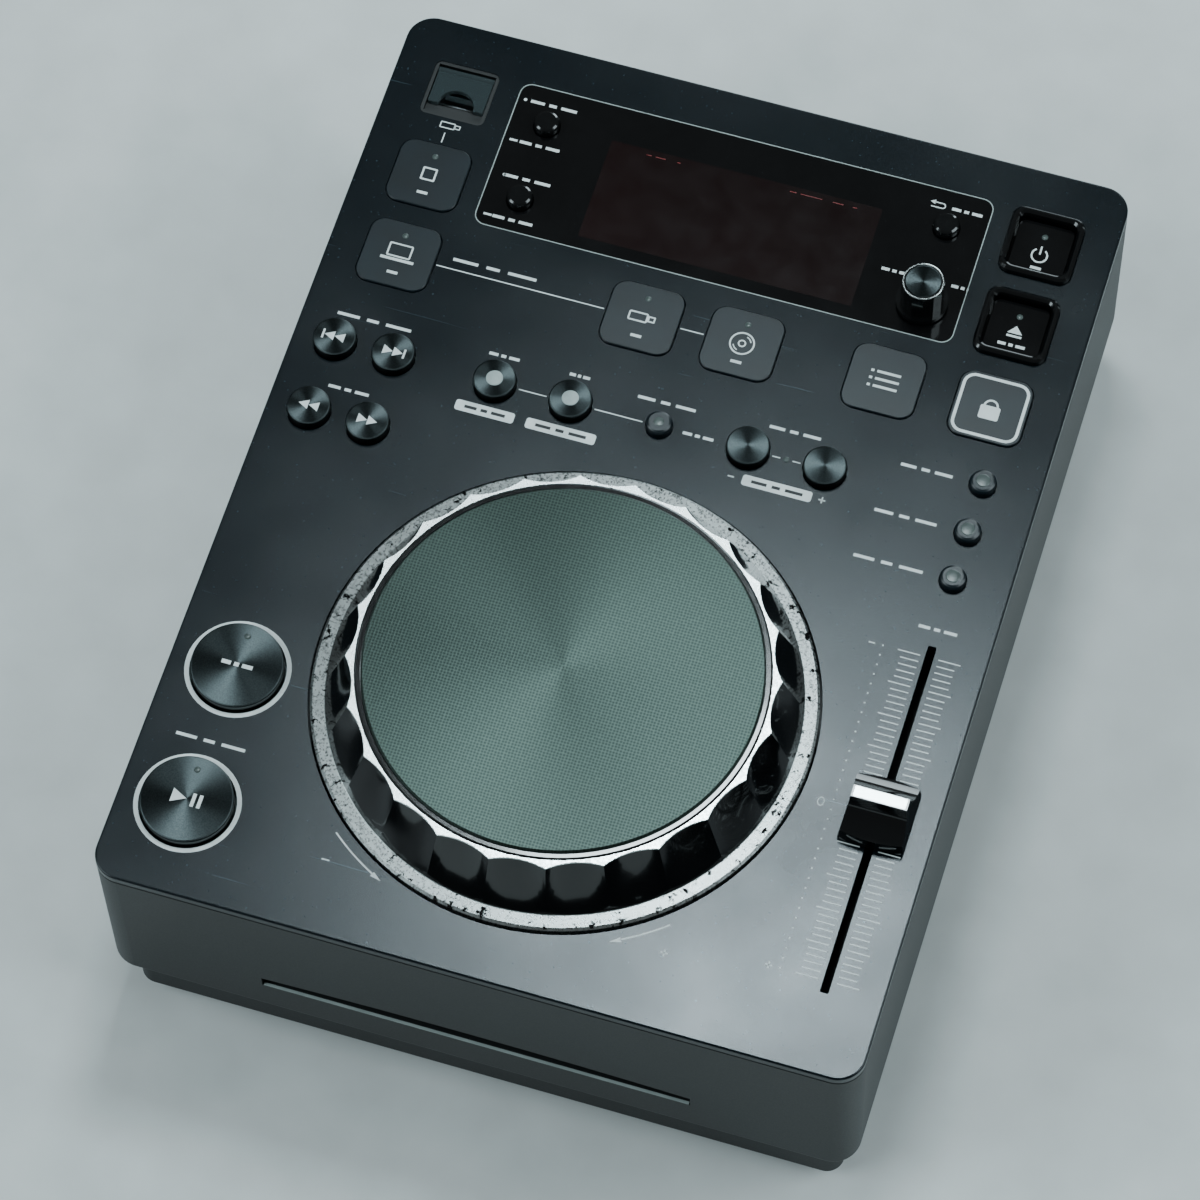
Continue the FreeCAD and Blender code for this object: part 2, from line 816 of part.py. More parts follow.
def make_case_shell():
    body = new_body("shell_walls")
    outline = new_sketch(body)
    draw_rounded(outline, s.panel_width, s.panel_depth, s.panel_corner)
    pad(body, outline, s.wall_height - s.panel_skin)
    doc.recompute()
    soften(body, "Fillet", "Radius", s.shell_round, 0, *rim_reach())
    doc.recompute()
    volume = body.Shape.Volume

    inside = new_sketch(body, height=s.ledge_skin)
    draw_rounded(inside, s.panel_width - s.shell_wall * 2, s.panel_depth - s.shell_wall * 2,
                 s.panel_corner - s.shell_wall)
    pocket(body, inside)
    volume = check_less(body, volume)

    opening = new_sketch(body)
    inset = (s.shell_wall + s.ledge_width) * 2
    draw_rounded(opening, s.panel_width - inset, s.panel_depth - inset, s.panel_corner - s.shell_wall)
    pocket(body, opening)
    volume = check_less(body, volume)

    seam = new_sketch(body, height=s.wall_height - s.panel_skin - s.seam_height)
    spare = s.panel_corner / 2
    draw_rounded(seam, s.panel_width + spare * 2, s.panel_depth + spare * 2, s.panel_corner + spare)
    draw_rounded(seam, s.panel_width - s.seam_inset * 2, s.panel_depth - s.seam_inset * 2,
                 s.panel_corner - s.seam_inset)
    pocket(body, seam)
    check_less(body, volume)
    place(body, ZERO, PANEL_Y, SHELL_BOTTOM)

    boss_length = SHELL_BOTTOM + s.ledge_skin - PAN_FLOOR
    bosses = [rod(x, PANEL_Y + y, PAN_FLOOR, s.case_boss_radius, boss_length) for x, y in CASE_SCREWS]
    walls = fuse([body] + bosses)

    pilot = s.screw_length - s.base_sheet + s.rest_gap
    tools = [rod(x, PANEL_Y + y, PAN_FLOOR, s.screw_radius + s.fixed_gap, pilot) for x, y in CASE_SCREWS]
    tools.append(slot_opening())
    tools.extend(socket_openings())
    keep(cut(walls, tools), "case_shell")


def slot_opening():
    """The disc slot through the front wall: a flat sill with a gently arched head."""
    body = new_body("slot_opening")
    sketch = new_sketch(body, "XZ_Plane")
    half = s.slot_width / 2
    rise = s.slot_height + s.slot_arch
    left = FreeCAD.Vector(-half.value, s.slot_height.value, 0)
    right = FreeCAD.Vector(half.value, s.slot_height.value, 0)
    sill_left = FreeCAD.Vector(-half.value, 0, 0)
    sill_right = FreeCAD.Vector(half.value, 0, 0)
    crown = FreeCAD.Vector(0, rise.value, 0)
    sketch.addGeometry(Part.LineSegment(sill_left, sill_right))
    sketch.addGeometry(Part.LineSegment(sill_right, right))
    sketch.addGeometry(Part.Arc(right, crown, left))
    sketch.addGeometry(Part.LineSegment(left, sill_left))
    sketch.addConstraint(Sketcher.Constraint("Coincident", 0, 2, 1, 1))
    sketch.addConstraint(Sketcher.Constraint("Coincident", 1, 2, 2, 1))
    sketch.addConstraint(Sketcher.Constraint("Coincident", 2, 2, 3, 1))
    sketch.addConstraint(Sketcher.Constraint("Coincident", 3, 2, 0, 1))
    fix_point(sketch, 0, 1, -half, ZERO)
    fix_point(sketch, 0, 2, half, ZERO)
    fix_point(sketch, 2, 1, half, s.slot_height)
    fix_point(sketch, 3, 1, -half, s.slot_height)
    head_radius = (half * half + s.slot_arch * s.slot_arch) / (s.slot_arch * 2)
    fix_radius(sketch, 2, head_radius)
    pad(body, sketch, s.shell_wall * 3, downwards=True)
    place(body, ZERO, FRONT_FACE - s.shell_wall, s.disc_bottom - s.rest_gap)
    return body


def socket_openings():
    """Cut-outs of the rear wall, each a little larger than what comes through it."""
    depth = s.shell_wall * 3
    back = INNER_REAR - s.shell_wall
    play = s.port_gap * 2
    holes = [rod(x, back, phono_z(), s.phono_collar + s.port_gap, depth, "Y") for x in phono_places()]
    holes.append(rod(s.remote_x, back, remote_z(), s.remote_radius + s.port_gap, depth, "Y"))
    port = s.square_port_width + play
    holes.append(middle_block(s.square_port_x, INNER_REAR, jack_seat() - s.port_gap,
                              port, depth, s.square_port_height + play))
    holes.append(middle_block(s.inlet_x, INNER_REAR, s.inlet_z - s.inlet_body_height / 2 - s.fixed_gap,
                              s.inlet_body_width + s.fixed_gap * 2, depth,
                              s.inlet_body_height + s.fixed_gap * 2))
    return holes


def jack_seat():
    return s.main_board_z + s.board_sheet


def phono_z():
    return jack_seat() + s.phono_body / 2


def remote_z():
    return jack_seat() + s.remote_radius * 1.5


def phono_places():
    return (s.phono_x - s.phono_pitch / 2, s.phono_x + s.phono_pitch / 2)


# bottom pan, feet and screws


def make_base_chassis():
    width = s.panel_width - s.plinth_inset * 2
    depth = s.panel_depth - s.plinth_inset * 2
    sheet = s.base_sheet
    outer = prism(width, depth, s.plinth_corner, ZERO, PANEL_Y, s.foot_height, SHELL_BOTTOM - s.foot_height)
    inner = prism(width - sheet * 2, depth - sheet * 2, s.plinth_corner - sheet, ZERO, PANEL_Y, PAN_FLOOR,
                  SHELL_BOTTOM - s.foot_height)
    pan = cut(outer, [inner])
    posts = []
    for left, right, level in supply_and_main():
        posts.extend(rod(x, y, PAN_FLOOR, s.post_radius, level - PAN_FLOOR) for x, y in post_places(left, right))
    holes = [rod(x, PANEL_Y + y, ZERO, s.screw_radius + s.screw_play, PAN_FLOOR * 2) for x, y in CASE_SCREWS]
    for index in range(VENTS):
        shift = s.vent_pitch * (index - (VENTS - 1) / 2)
        for side in (-1, 1):
            holes.append(middle_block(s.vent_length * side, s.vent_y + shift, ZERO,
                                      s.vent_length, s.vent_width, PAN_FLOOR * 2))
    keep(cut(fuse([pan] + posts), holes), "base_chassis")


def supply_and_main():
    """The two boards that stand on posts: left edge, right edge and height."""
    return ((s.supply_board_left, s.supply_board_right, s.supply_board_z),
            (s.main_board_left, s.main_board_right, s.main_board_z))


def post_places(left, right):
    """The four posts of a board, inset from its corners."""
    inset = s.post_inset
    rows = (PANEL_Y + s.deep_board_front + inset, PANEL_Y + s.deep_board_rear - inset)
    return [(x, y) for x in (left + inset, right - inset) for y in rows]


def make_feet():
    feet = []
    reach_x = s.panel_width / 2 - s.foot_inset
    reach_y = s.panel_depth / 2 - s.foot_inset
    for side in (-1, 1):
        for end in (-1, 1):
            profile = (
                (ZERO, ZERO),
                (s.foot_radius - s.foot_bevel, ZERO),
                (s.foot_radius, s.foot_bevel),
                (s.foot_radius, s.foot_height),
                (ZERO, s.foot_height),
            )
            feet.append(turned("foot", profile, reach_x * side, PANEL_Y + reach_y * end, ZERO))
    keep(group(feet), "rubber_feet")


def screw(x, y, seat):
    """A pan-head screw driven upwards: its head bears on the seat from below."""
    head = s.screw_head_height
    profile = (
        (ZERO, -head),
        (s.screw_head_radius - head / 4, -head),
        (s.screw_head_radius, head * -0.75),
        (s.screw_head_radius, ZERO),
        (s.screw_radius, ZERO),
        (s.screw_radius, s.screw_length),
        (ZERO, s.screw_length),
    )
    return turned("screw", profile, x, y, seat)


def make_screws():
    screws = [screw(x, PANEL_Y + y, s.foot_height) for x, y in CASE_SCREWS]
    screws.extend(screw(x, PANEL_Y + y, BOARD_TOP - s.board_sheet) for x, y in BOARD_BOSSES)
    screws.extend(screw(x, PANEL_Y + y, s.panel_top - s.mount_drop) for x, y in JOG_LUGS)
    keep(group(screws), "case_screws")


# push buttons


def round_button(label, x, y, kind):
    """A turned cap with a flange that holds it under the deck and a stem over its switch."""
    radius, rise, edge, travel, _ = CAPS[kind]
    seat = WINDOW_SEAT if kind == "window" else s.panel_skin
    flange_top = -seat - s.rest_gap
    flange_bottom = flange_top - s.flange_skin
    foot = switch_gap_z(travel)
    roof = rise - edge - s.cap_wall
    hollow = radius - s.cap_wall
    profile = [(ZERO, foot), (s.stem_radius, foot)]
    if kind in ("large", "small"):
        profile += [(s.stem_radius, roof), (hollow, roof), (hollow, flange_bottom)]
    else:
        profile += [(s.stem_radius, flange_bottom)]
    profile += [
        (radius + s.flange_lip, flange_bottom),
        (radius + s.flange_lip, flange_top),
        (radius, flange_top),
        (radius, rise - edge),
        (radius - edge / 3, rise - edge / 3),
        (radius - edge, rise),
        (ZERO, rise),
    ]
    keep(turned(label, profile, x, PANEL_Y + y, s.panel_top), label)


def square_button(label, x, y, width, depth, corner, seat, top):
    """A square cap with a flange and a stem."""
    body = new_body(label)
    flange_top = -seat - s.rest_gap
    flange_bottom = flange_top - s.flange_skin
    cap = new_sketch(body, height=flange_top)
    draw_rounded(cap, width, depth, corner)
    pad(body, cap, top - flange_top)
    doc.recompute()
    soften(body, "Chamfer", "Size", s.cap_edge / 2, top.value)
    flange = new_sketch(body, height=flange_bottom)
    lip = s.flange_lip * 2
    draw_rounded(flange, width + lip, depth + lip, corner + s.flange_lip)
    pad(body, flange, s.flange_skin)
    doc.recompute()
    volume = body.Shape.Volume
    hollow = new_sketch(body, height=flange_bottom)
    wall = s.cap_wall * 2
    draw_rounded(hollow, width - wall, depth - wall, corner / 2)
    pocket(body, hollow, top - s.cap_wall - flange_bottom)
    check_less(body, volume)
    stem = new_sketch(body, height=switch_gap_z(s.large_travel))
    draw_circle(stem, s.stem_radius)
    pad(body, stem, top - s.cap_wall / 2 - switch_gap_z(s.large_travel))
    place(body, x, PANEL_Y + y, s.panel_top)
    keep(body, label)


def make_buttons():
    for label, x, y, kind in ROUND_BUTTONS:
        round_button(label, x, y, kind)
    for label, x, y in SQUARE_BUTTONS:
        square_button(label, x, y, s.square_side, s.square_side, s.square_corner, s.panel_skin, s.square_rise)
    for label, x, y in WELL_BUTTONS:
        square_button(label, x, y, s.well_cap_width, s.well_cap_depth, s.well_cap_corner,
                      FRAME_SEAT, -s.well_cap_drop)


def make_guard_frames():
    """A raised frame round each of the two wells, clipped under the deck by its flange."""
    frames = []
    height = s.frame_rise + FRAME_SEAT
    wall = s.frame_wall * 2
    lip = s.frame_flange * 2
    for _, x, y in WELL_BUTTONS:
        body = new_body("guard_frame")
        outline = new_sketch(body)
        draw_rounded(outline, s.frame_width, s.frame_depth, s.frame_corner)
        draw_rounded(outline, s.frame_width - wall, s.frame_depth - wall, s.frame_corner - s.frame_wall / 2)
        pad(body, outline, height)
        doc.recompute()
        soften(body, "Chamfer", "Size", s.frame_bevel, height.value)
        flange = new_sketch(body, height=s.frame_tail - s.flange_skin)
        draw_rounded(flange, s.frame_width + lip, s.frame_depth + lip, s.frame_corner + s.frame_flange)
        draw_rounded(flange, s.frame_width - wall / 2, s.frame_depth - wall / 2, s.frame_corner - s.frame_wall / 2)
        pad(body, flange, s.flange_skin)
        place(body, x, PANEL_Y + y, s.panel_top - FRAME_SEAT)
        frames.append(body)
    keep(group(frames), "guard_frames")


# display


def make_window():
    body = new_body("display_window")
    flange = new_sketch(body)
    lip = s.window_flange * 2
    draw_rounded(flange, s.window_width + lip, s.window_depth + lip, s.window_corner + s.window_flange)
    pad(body, flange, s.window_flange_skin)
    face = new_sketch(body)
    draw_rounded(face, s.window_width, s.window_depth, s.window_corner)
    pad(body, face, WINDOW_SEAT - s.window_sink)
    doc.recompute()
    volume = body.Shape.Volume
    holes = new_sketch(body)
    for _, x, y, kind in ROUND_BUTTONS:
        if kind == "window":
            draw_circle(holes, s.mini_radius + s.cap_gap, x - s.window_x, y - s.window_y)
    draw_circle(holes, s.knob_hole_radius, s.window_keys_x - s.window_x, s.window_front_row_y - s.window_y)
    pocket(body, holes)
    check_less(body, volume)
    place(body, s.window_x, PANEL_Y + s.window_y, s.panel_top - WINDOW_SEAT)
    keep(body, "display_window")


def make_display():
    glass_top = s.panel_top - WINDOW_SEAT - s.moving_gap
    height = glass_top - BOARD_TOP
    y = PANEL_Y + s.display_glass_y
    body = middle_block(s.window_x, y, BOARD_TOP, s.display_width, s.display_depth, height - s.display_glass_height)
    glass = middle_block(s.window_x, y, BOARD_TOP, s.display_glass_width, s.display_glass_depth, height)
    keep(fuse([body, glass]), "display_module")


# socket for a memory stick under a hinged flap


def make_usb():
    top = s.panel_top
    x = s.left_keys_x
    y = PANEL_Y + s.usb_y
    floor = top - s.usb_floor_drop
    bottom = floor - s.usb_floor_skin
    inner_width = s.usb_width - s.usb_rim * 2
    inner_depth = s.usb_depth - s.usb_rim * 2
    front = y - s.usb_depth / 2 + s.usb_rim
    rear = y + s.usb_depth / 2 - s.usb_rim
    axis_y = rear - s.flap_axis_back
    axis_z = top - s.flap_axis_drop
    ledge_top = top - s.usb_ledge_drop

    cup = prism(s.usb_width, s.usb_depth, s.usb_corner, x, y, bottom, top - s.usb_sink - bottom)
    lip = s.window_flange * 2
    flange = prism(s.usb_width + lip, s.usb_depth + lip, s.usb_corner + s.window_flange, x, y,
                   UNDERSIDE - s.flange_skin, s.flange_skin)
    above_ledge = middle_block(x, y, ledge_top, inner_width, inner_depth, s.usb_ledge_drop * 2)
    cavity_front = front + s.usb_ledge
    cavity = block(x - inner_width / 2, cavity_front, floor, inner_width, rear - cavity_front, s.usb_floor_drop)
    plug_room_x = s.plug_width + s.plug_shell * 2 + s.fixed_gap * 2
    plug_room_y = s.plug_height + s.plug_shell * 2 + s.fixed_gap * 2
    plug_y = (cavity_front + rear) / 2
    plug_hole = middle_block(x, plug_y, bottom - s.usb_floor_skin, plug_room_x, plug_room_y, s.usb_floor_drop)
    seats = rod(x - s.usb_width / 2, axis_y, axis_z, s.trunnion_radius + s.running_gap, s.usb_width, "X")
    keep(cut(fuse([cup, flange]), [above_ledge, cavity, plug_hole, seats]), "usb_well")

    flap_width = inner_width - s.moving_gap * 2
    flap_length = axis_y - cavity_front
    skin = block(x - flap_width / 2, cavity_front, axis_z - s.flap_skin / 2, flap_width, flap_length, s.flap_skin)
    knuckle = rod(x - flap_width / 2, axis_y, axis_z, s.flap_knuckle, flap_width, "X")
    reach = flap_width + (s.usb_rim * 0.8 + s.moving_gap) * 2
    trunnions = rod(x - reach / 2, axis_y, axis_z, s.trunnion_radius, reach, "X")
    notch = rod(x, cavity_front, axis_z - s.flap_skin, s.flap_notch_radius, s.flap_skin * 2)
    keep(cut(fuse([skin, knuckle, trunnions]), [notch]), "usb_cover")

    shell_width = s.plug_width + s.plug_shell * 2
    shell_depth = s.plug_height + s.plug_shell * 2
    low = floor - s.plug_depth - s.plug_shell
    shell = middle_block(x, plug_y, low, shell_width, shell_depth, floor - low)
    room = middle_block(x, plug_y, low + s.plug_shell, s.plug_width, s.plug_height, floor - low)
    tongue_y = plug_y + s.plug_height / 2 - s.tongue_skin
    tongue = middle_block(x, tongue_y, low + s.plug_shell / 2, s.tongue_width, s.tongue_skin,
                          s.plug_depth - s.plug_shell * 4)
    keep(fuse([cut(shell, [room]), tongue]), "usb_socket")


# push and turn selector


def make_selector():
    x = s.window_keys_x
    y = PANEL_Y + s.window_front_row_y
    foot = BOARD_TOP + s.selector_body_height + s.small_travel + s.press_margin
    collar_bottom = s.panel_top - s.selector_bush_drop + s.small_travel + s.press_margin
    rise = s.panel_top + s.plunger_pin_rise - foot
    pin = s.plunger_pin_radius
    collar = s.knob_hole_radius - s.moving_gap
    profile = (
        (ZERO, ZERO),
        (pin, ZERO),
        (pin, collar_bottom - foot),
        (collar, collar_bottom - foot),
        (collar, collar_bottom - foot + s.flange_skin),
        (pin, collar_bottom - foot + s.flange_skin),
        (pin, rise),
        (ZERO, rise),
    )
    keep(turned("select_plunger", profile, x, y, foot), "select_plunger")

    body = new_body("select_knob")
    sketch = new_sketch(body, "XZ_Plane")
    base_top = s.knob_base_height
    bore = pin + s.running_gap
    height = s.knob_rise - s.knob_lift
    bore_top = s.plunger_pin_rise - s.knob_lift + s.rest_gap
    draw_outline(sketch, (
        (bore, ZERO),
        (s.knob_base_radius, ZERO),
        (s.knob_base_radius, base_top),
        (s.knob_radius, base_top),
        (s.knob_top_radius, height - s.cap_edge),
        (s.knob_top_radius - s.cap_edge, height),
        (ZERO, height),
        (ZERO, bore_top),
        (bore, bore_top),
    ))
    spin = body.newObject("PartDesign::Revolution", "Spin")
    spin.Profile = sketch
    spin.ReferenceAxis = (sketch, ["V_Axis"])
    spin.Angle = 360
    doc.recompute()
    volume = body.Shape.Volume
    flat = new_sketch(body, height=base_top)
    near = s.knob_top_radius - s.knob_flat_cut
    far = s.knob_base_radius
    half = s.knob_radius / 3
    draw_outline(flat, ((near, -half), (far, -half), (far, half), (near, half)))
    shave = pocket(body, flat)
    check_less(body, volume)
    pattern = body.newObject("PartDesign::PolarPattern", "Facets")
    pattern.Originals = [shave]
    pattern.Axis = (flat, ["N_Axis"])
    pattern.Angle = 360
    pattern.Occurrences = KNOB_FACETS
    body.Tip = pattern
    place(body, x, y, s.panel_top + s.knob_lift)
    keep(body, "select_knob")


# tempo fader


def make_fader():
    x = s.fader_x
    y = PANEL_Y + s.fader_y
    can_bottom = UNDERSIDE - s.fader_can_height
    wall = s.fader_can_wall
    can = middle_block(x, y, can_bottom, s.fader_can_width, s.fader_can_length, s.fader_can_height)
    room_height = s.fader_can_height - wall * 2
    room = middle_block(x, y, can_bottom + wall, s.fader_can_width - wall * 2, s.fader_can_length - wall * 2,
                        room_height)
    slit = middle_block(x, y, UNDERSIDE - wall * 2, s.lever_width + s.moving_gap * 4, s.fader_slot_length, wall * 3)
    keep(cut(can, [room, slit]), "fader_body")

    carriage_bottom = can_bottom + wall + s.moving_gap
    carriage = middle_block(x, y, carriage_bottom, s.fader_can_width - wall * 2 - s.moving_gap * 2,
                            s.carriage_length, s.carriage_height)
    lever_top = s.panel_top + s.lever_rise
    lever = middle_block(x, y, carriage_bottom, s.lever_width, s.lever_length, lever_top - carriage_bottom)
    keep(fuse([carriage, lever]), "fader_carriage")

    body = new_body("cap_block")
    outline = new_sketch(body)
    half_x = s.cap_width / 2
    half_y = s.cap_straight / 2
    tip_y = half_y + s.cap_bulge
    rear_left = FreeCAD.Vector(-half_x.value, half_y.value, 0)
    rear_right = FreeCAD.Vector(half_x.value, half_y.value, 0)
    front_left = FreeCAD.Vector(-half_x.value, -half_y.value, 0)
    front_right = FreeCAD.Vector(half_x.value, -half_y.value, 0)
    outline.addGeometry(Part.LineSegment(front_right, rear_right))
    outline.addGeometry(Part.Arc(rear_right, FreeCAD.Vector(0, tip_y.value, 0), rear_left))
    outline.addGeometry(Part.LineSegment(rear_left, front_left))
    outline.addGeometry(Part.Arc(front_left, FreeCAD.Vector(0, -tip_y.value, 0), front_right))
    outline.addConstraint(Sketcher.Constraint("Coincident", 0, 2, 1, 1))
    outline.addConstraint(Sketcher.Constraint("Coincident", 1, 2, 2, 1))
    outline.addConstraint(Sketcher.Constraint("Coincident", 2, 2, 3, 1))
    outline.addConstraint(Sketcher.Constraint("Coincident", 3, 2, 0, 1))
    fix_point(outline, 0, 1, half_x, -half_y)
    fix_point(outline, 0, 2, half_x, half_y)
    fix_point(outline, 2, 1, -half_x, half_y)
    fix_point(outline, 2, 2, -half_x, -half_y)
    bow = (half_x * half_x + s.cap_bulge * s.cap_bulge) / (s.cap_bulge * 2)
    fix_radius(outline, 1, bow)
    fix_radius(outline, 3, bow)
    raised = pad(body, outline, s.cap_height - s.cap_lift)
    bind(raised, "TaperAngle", -s.cap_taper)
    base = s.panel_top + s.cap_lift
    place(body, x, y, base)
    saddles = [rod(x - s.cap_width, y + s.saddle_offset * end, s.panel_top + s.saddle_height, s.saddle_radius,
                   s.cap_width * 2, "X") for end in (-1, 1)]
    play = s.fixed_gap
    socket = middle_block(x, y, base - play, s.lever_width + play * 2, s.lever_length + play * 2,
                          s.lever_rise - s.cap_lift + play * 2)
    keep(cut(body, saddles + [socket]), "fader_cap")


# jog wheel


def facet_wire(radius, hollow, level):
    """A ring of arcs between facet corners: hollow ones where hollow is positive."""
    edges = []
    step = 2 * math.pi / FACETS
    for index in range(FACETS):
        start = math.radians(s.facet_turn.value) + index * step
        middle = start + step / 2
        reach = radius * math.cos(step / 2) - hollow
        points = [(radius, start), (reach, middle), (radius, start + step)]
        vectors = [FreeCAD.Vector(r * math.cos(a), r * math.sin(a), level) for r, a in points]
        edges.append(Part.Arc(*vectors).toShape())
    return Part.Wire(edges)


def make_jog_ring():
    """The faceted ring: a rim near the deck, and a wall of hollow facets that narrows upwards."""
    foot = s.facet_foot_radius.value
    tip = s.facet_tip_radius.value
    rounding = foot * (math.cos(math.pi / FACETS) - 1)
    low = facet_wire(foot, rounding, s.facet_foot_rise.value)
    high = facet_wire(tip, s.facet_hollow.value, s.facet_rise.value)
    wall = Part.makeLoft([low, high], True, True)
    rim_points = (
        (s.ring_bore_radius, -s.rim_tail),
        (s.rim_radius, -s.rim_tail),
        (s.rim_radius, s.rim_rise - s.rim_edge_drop),
        (s.rim_radius - s.rim_edge_drop, s.rim_rise),
        (s.facet_foot_radius, s.facet_foot_rise),
        (s.ring_bore_radius, s.facet_foot_rise),
    )
    rim = spun(rim_points)
    hollow_points = (
        (ZERO, -s.rim_tail * 2),
        (s.ring_skirt_radius, -s.rim_tail * 2),
        (s.ring_skirt_radius, ZERO),
        (s.ring_bore_radius, s.ring_seat),
        (s.ring_bore_radius, s.facet_rise * 2),
        (ZERO, s.facet_rise * 2),
    )
    shape = wall.fuse(rim).cut(spun(hollow_points)).removeSplitter()
    ring = doc.addObject("Part::Feature", "jog_ring")
    ring.Shape = shape
    place(ring, ZERO, PANEL_Y + s.jog_y, s.panel_top)
    keep(ring, "jog_ring")


def spun(points):
    """A solid of revolution from radius and height points."""
    corners = [FreeCAD.Vector(r.value, 0, z.value) for r, z in points]
    face = Part.Face(Part.makePolygon(corners + corners[:1]))
    return face.revolve(FreeCAD.Vector(0, 0, 0), FreeCAD.Vector(0, 0, 1), 360)


def make_jog_wheel():
    y = PANEL_Y + s.jog_y
    outer = s.ring_bore_radius - s.fixed_gap
    bore = s.shaft_radius + s.fixed_gap
    pin = s.plate_pin_radius + s.running_gap
    hub_foot = s.mount_boss_top - s.rest_gap
    pin_floor = s.plate_rise - s.plate_skin - s.plate_pin_length - s.plate_travel - s.press_margin
    shaft_top = pin_floor - s.rest_gap
    profile = (
        (bore, -hub_foot),
        (s.hub_radius, -hub_foot),
        (s.hub_radius, s.dial_underside - s.dial_skin),
        (s.hub_radius + s.dial_skin, s.dial_underside),
        (outer, s.dial_underside),
        (outer, s.dial_rise - s.cap_edge),
        (outer - s.cap_edge, s.dial_rise),
        (s.plate_radius + s.plate_gap, s.dial_rise),
        (s.plate_radius + s.plate_gap, s.dial_recess),
        (pin, s.dial_recess),
        (pin, pin_floor),
        (ZERO, pin_floor),
        (ZERO, shaft_top),
        (bore, shaft_top),
    )
    keep(turned("jog_dial", profile, ZERO, y, s.panel_top), "jog_dial")

    under = s.plate_rise - s.plate_skin
    foot_bottom = s.dial_recess + s.plate_travel + s.press_margin
    profile = (
        (ZERO, under - s.plate_pin_length),
        (s.plate_pin_radius, under - s.plate_pin_length),
        (s.plate_pin_radius, under),
        (s.plate_foot_inner, under),
        (s.plate_foot_inner, foot_bottom),
        (s.plate_foot_outer, foot_bottom),
        (s.plate_foot_outer, under),
        (s.plate_radius, under),
        (s.plate_radius, s.plate_rise - s.plate_edge),
        (s.plate_radius - s.plate_edge, s.plate_rise),
        (ZERO, s.plate_rise),
    )
    keep(turned("jog_plate", profile, ZERO, y, s.panel_top), "jog_plate")

    shaft = s.shaft_radius
    wheel_top = -s.encoder_drop + s.encoder_skin
    profile = (
        (ZERO, -s.shaft_tail),
        (shaft, -s.shaft_tail),
        (shaft, -s.encoder_drop),
        (s.encoder_radius, -s.encoder_drop),
        (s.encoder_radius, wheel_top),
        (shaft, wheel_top),
        (shaft, shaft_top - s.rest_gap),
        (ZERO, shaft_top - s.rest_gap),
    )
    keep(turned("jog_shaft", profile, ZERO, y, s.panel_top), "jog_shaft")


def make_jog_mount():
    """A fixed tray under the deck with the bearing boss in its middle and four lugs for its screws."""
    y = PANEL_Y + s.jog_y
    bearing = s.shaft_radius + s.running_gap
    tray_top = s.mount_skin - s.mount_drop
    profile = (
        (bearing, -s.mount_boss_bottom),
        (s.mount_boss_radius, -s.mount_boss_bottom),
        (s.mount_boss_radius, -s.mount_drop),
        (s.mount_radius, -s.mount_drop),
        (s.mount_radius, -s.panel_skin),
        (s.mount_radius - s.mount_wall, -s.panel_skin),
        (s.mount_radius - s.mount_wall, tray_top),
        (s.mount_boss_radius, tray_top),
        (s.mount_boss_radius, -s.mount_boss_top),
        (bearing, -s.mount_boss_top),
    )
    tray = turned("mount_tray", profile, ZERO, y, s.panel_top)
    low = s.panel_top - s.mount_drop
    lugs = [rod(x, PANEL_Y + lug_y, low, s.lug_radius, s.mount_skin) for x, lug_y in JOG_LUGS]
    holes = [rod(x, PANEL_Y + lug_y, low - s.mount_skin, s.screw_radius + s.screw_play, s.mount_skin * 3)
             for x, lug_y in JOG_LUGS]
    reliefs = [rod(x, PANEL_Y + lug_y, low + s.mount_skin, s.lug_radius + s.fixed_gap, s.mount_drop)
               for x, lug_y in JOG_LUGS]
    keep(cut(fuse([tray] + lugs), holes + reliefs), "jog_mount")


# boards


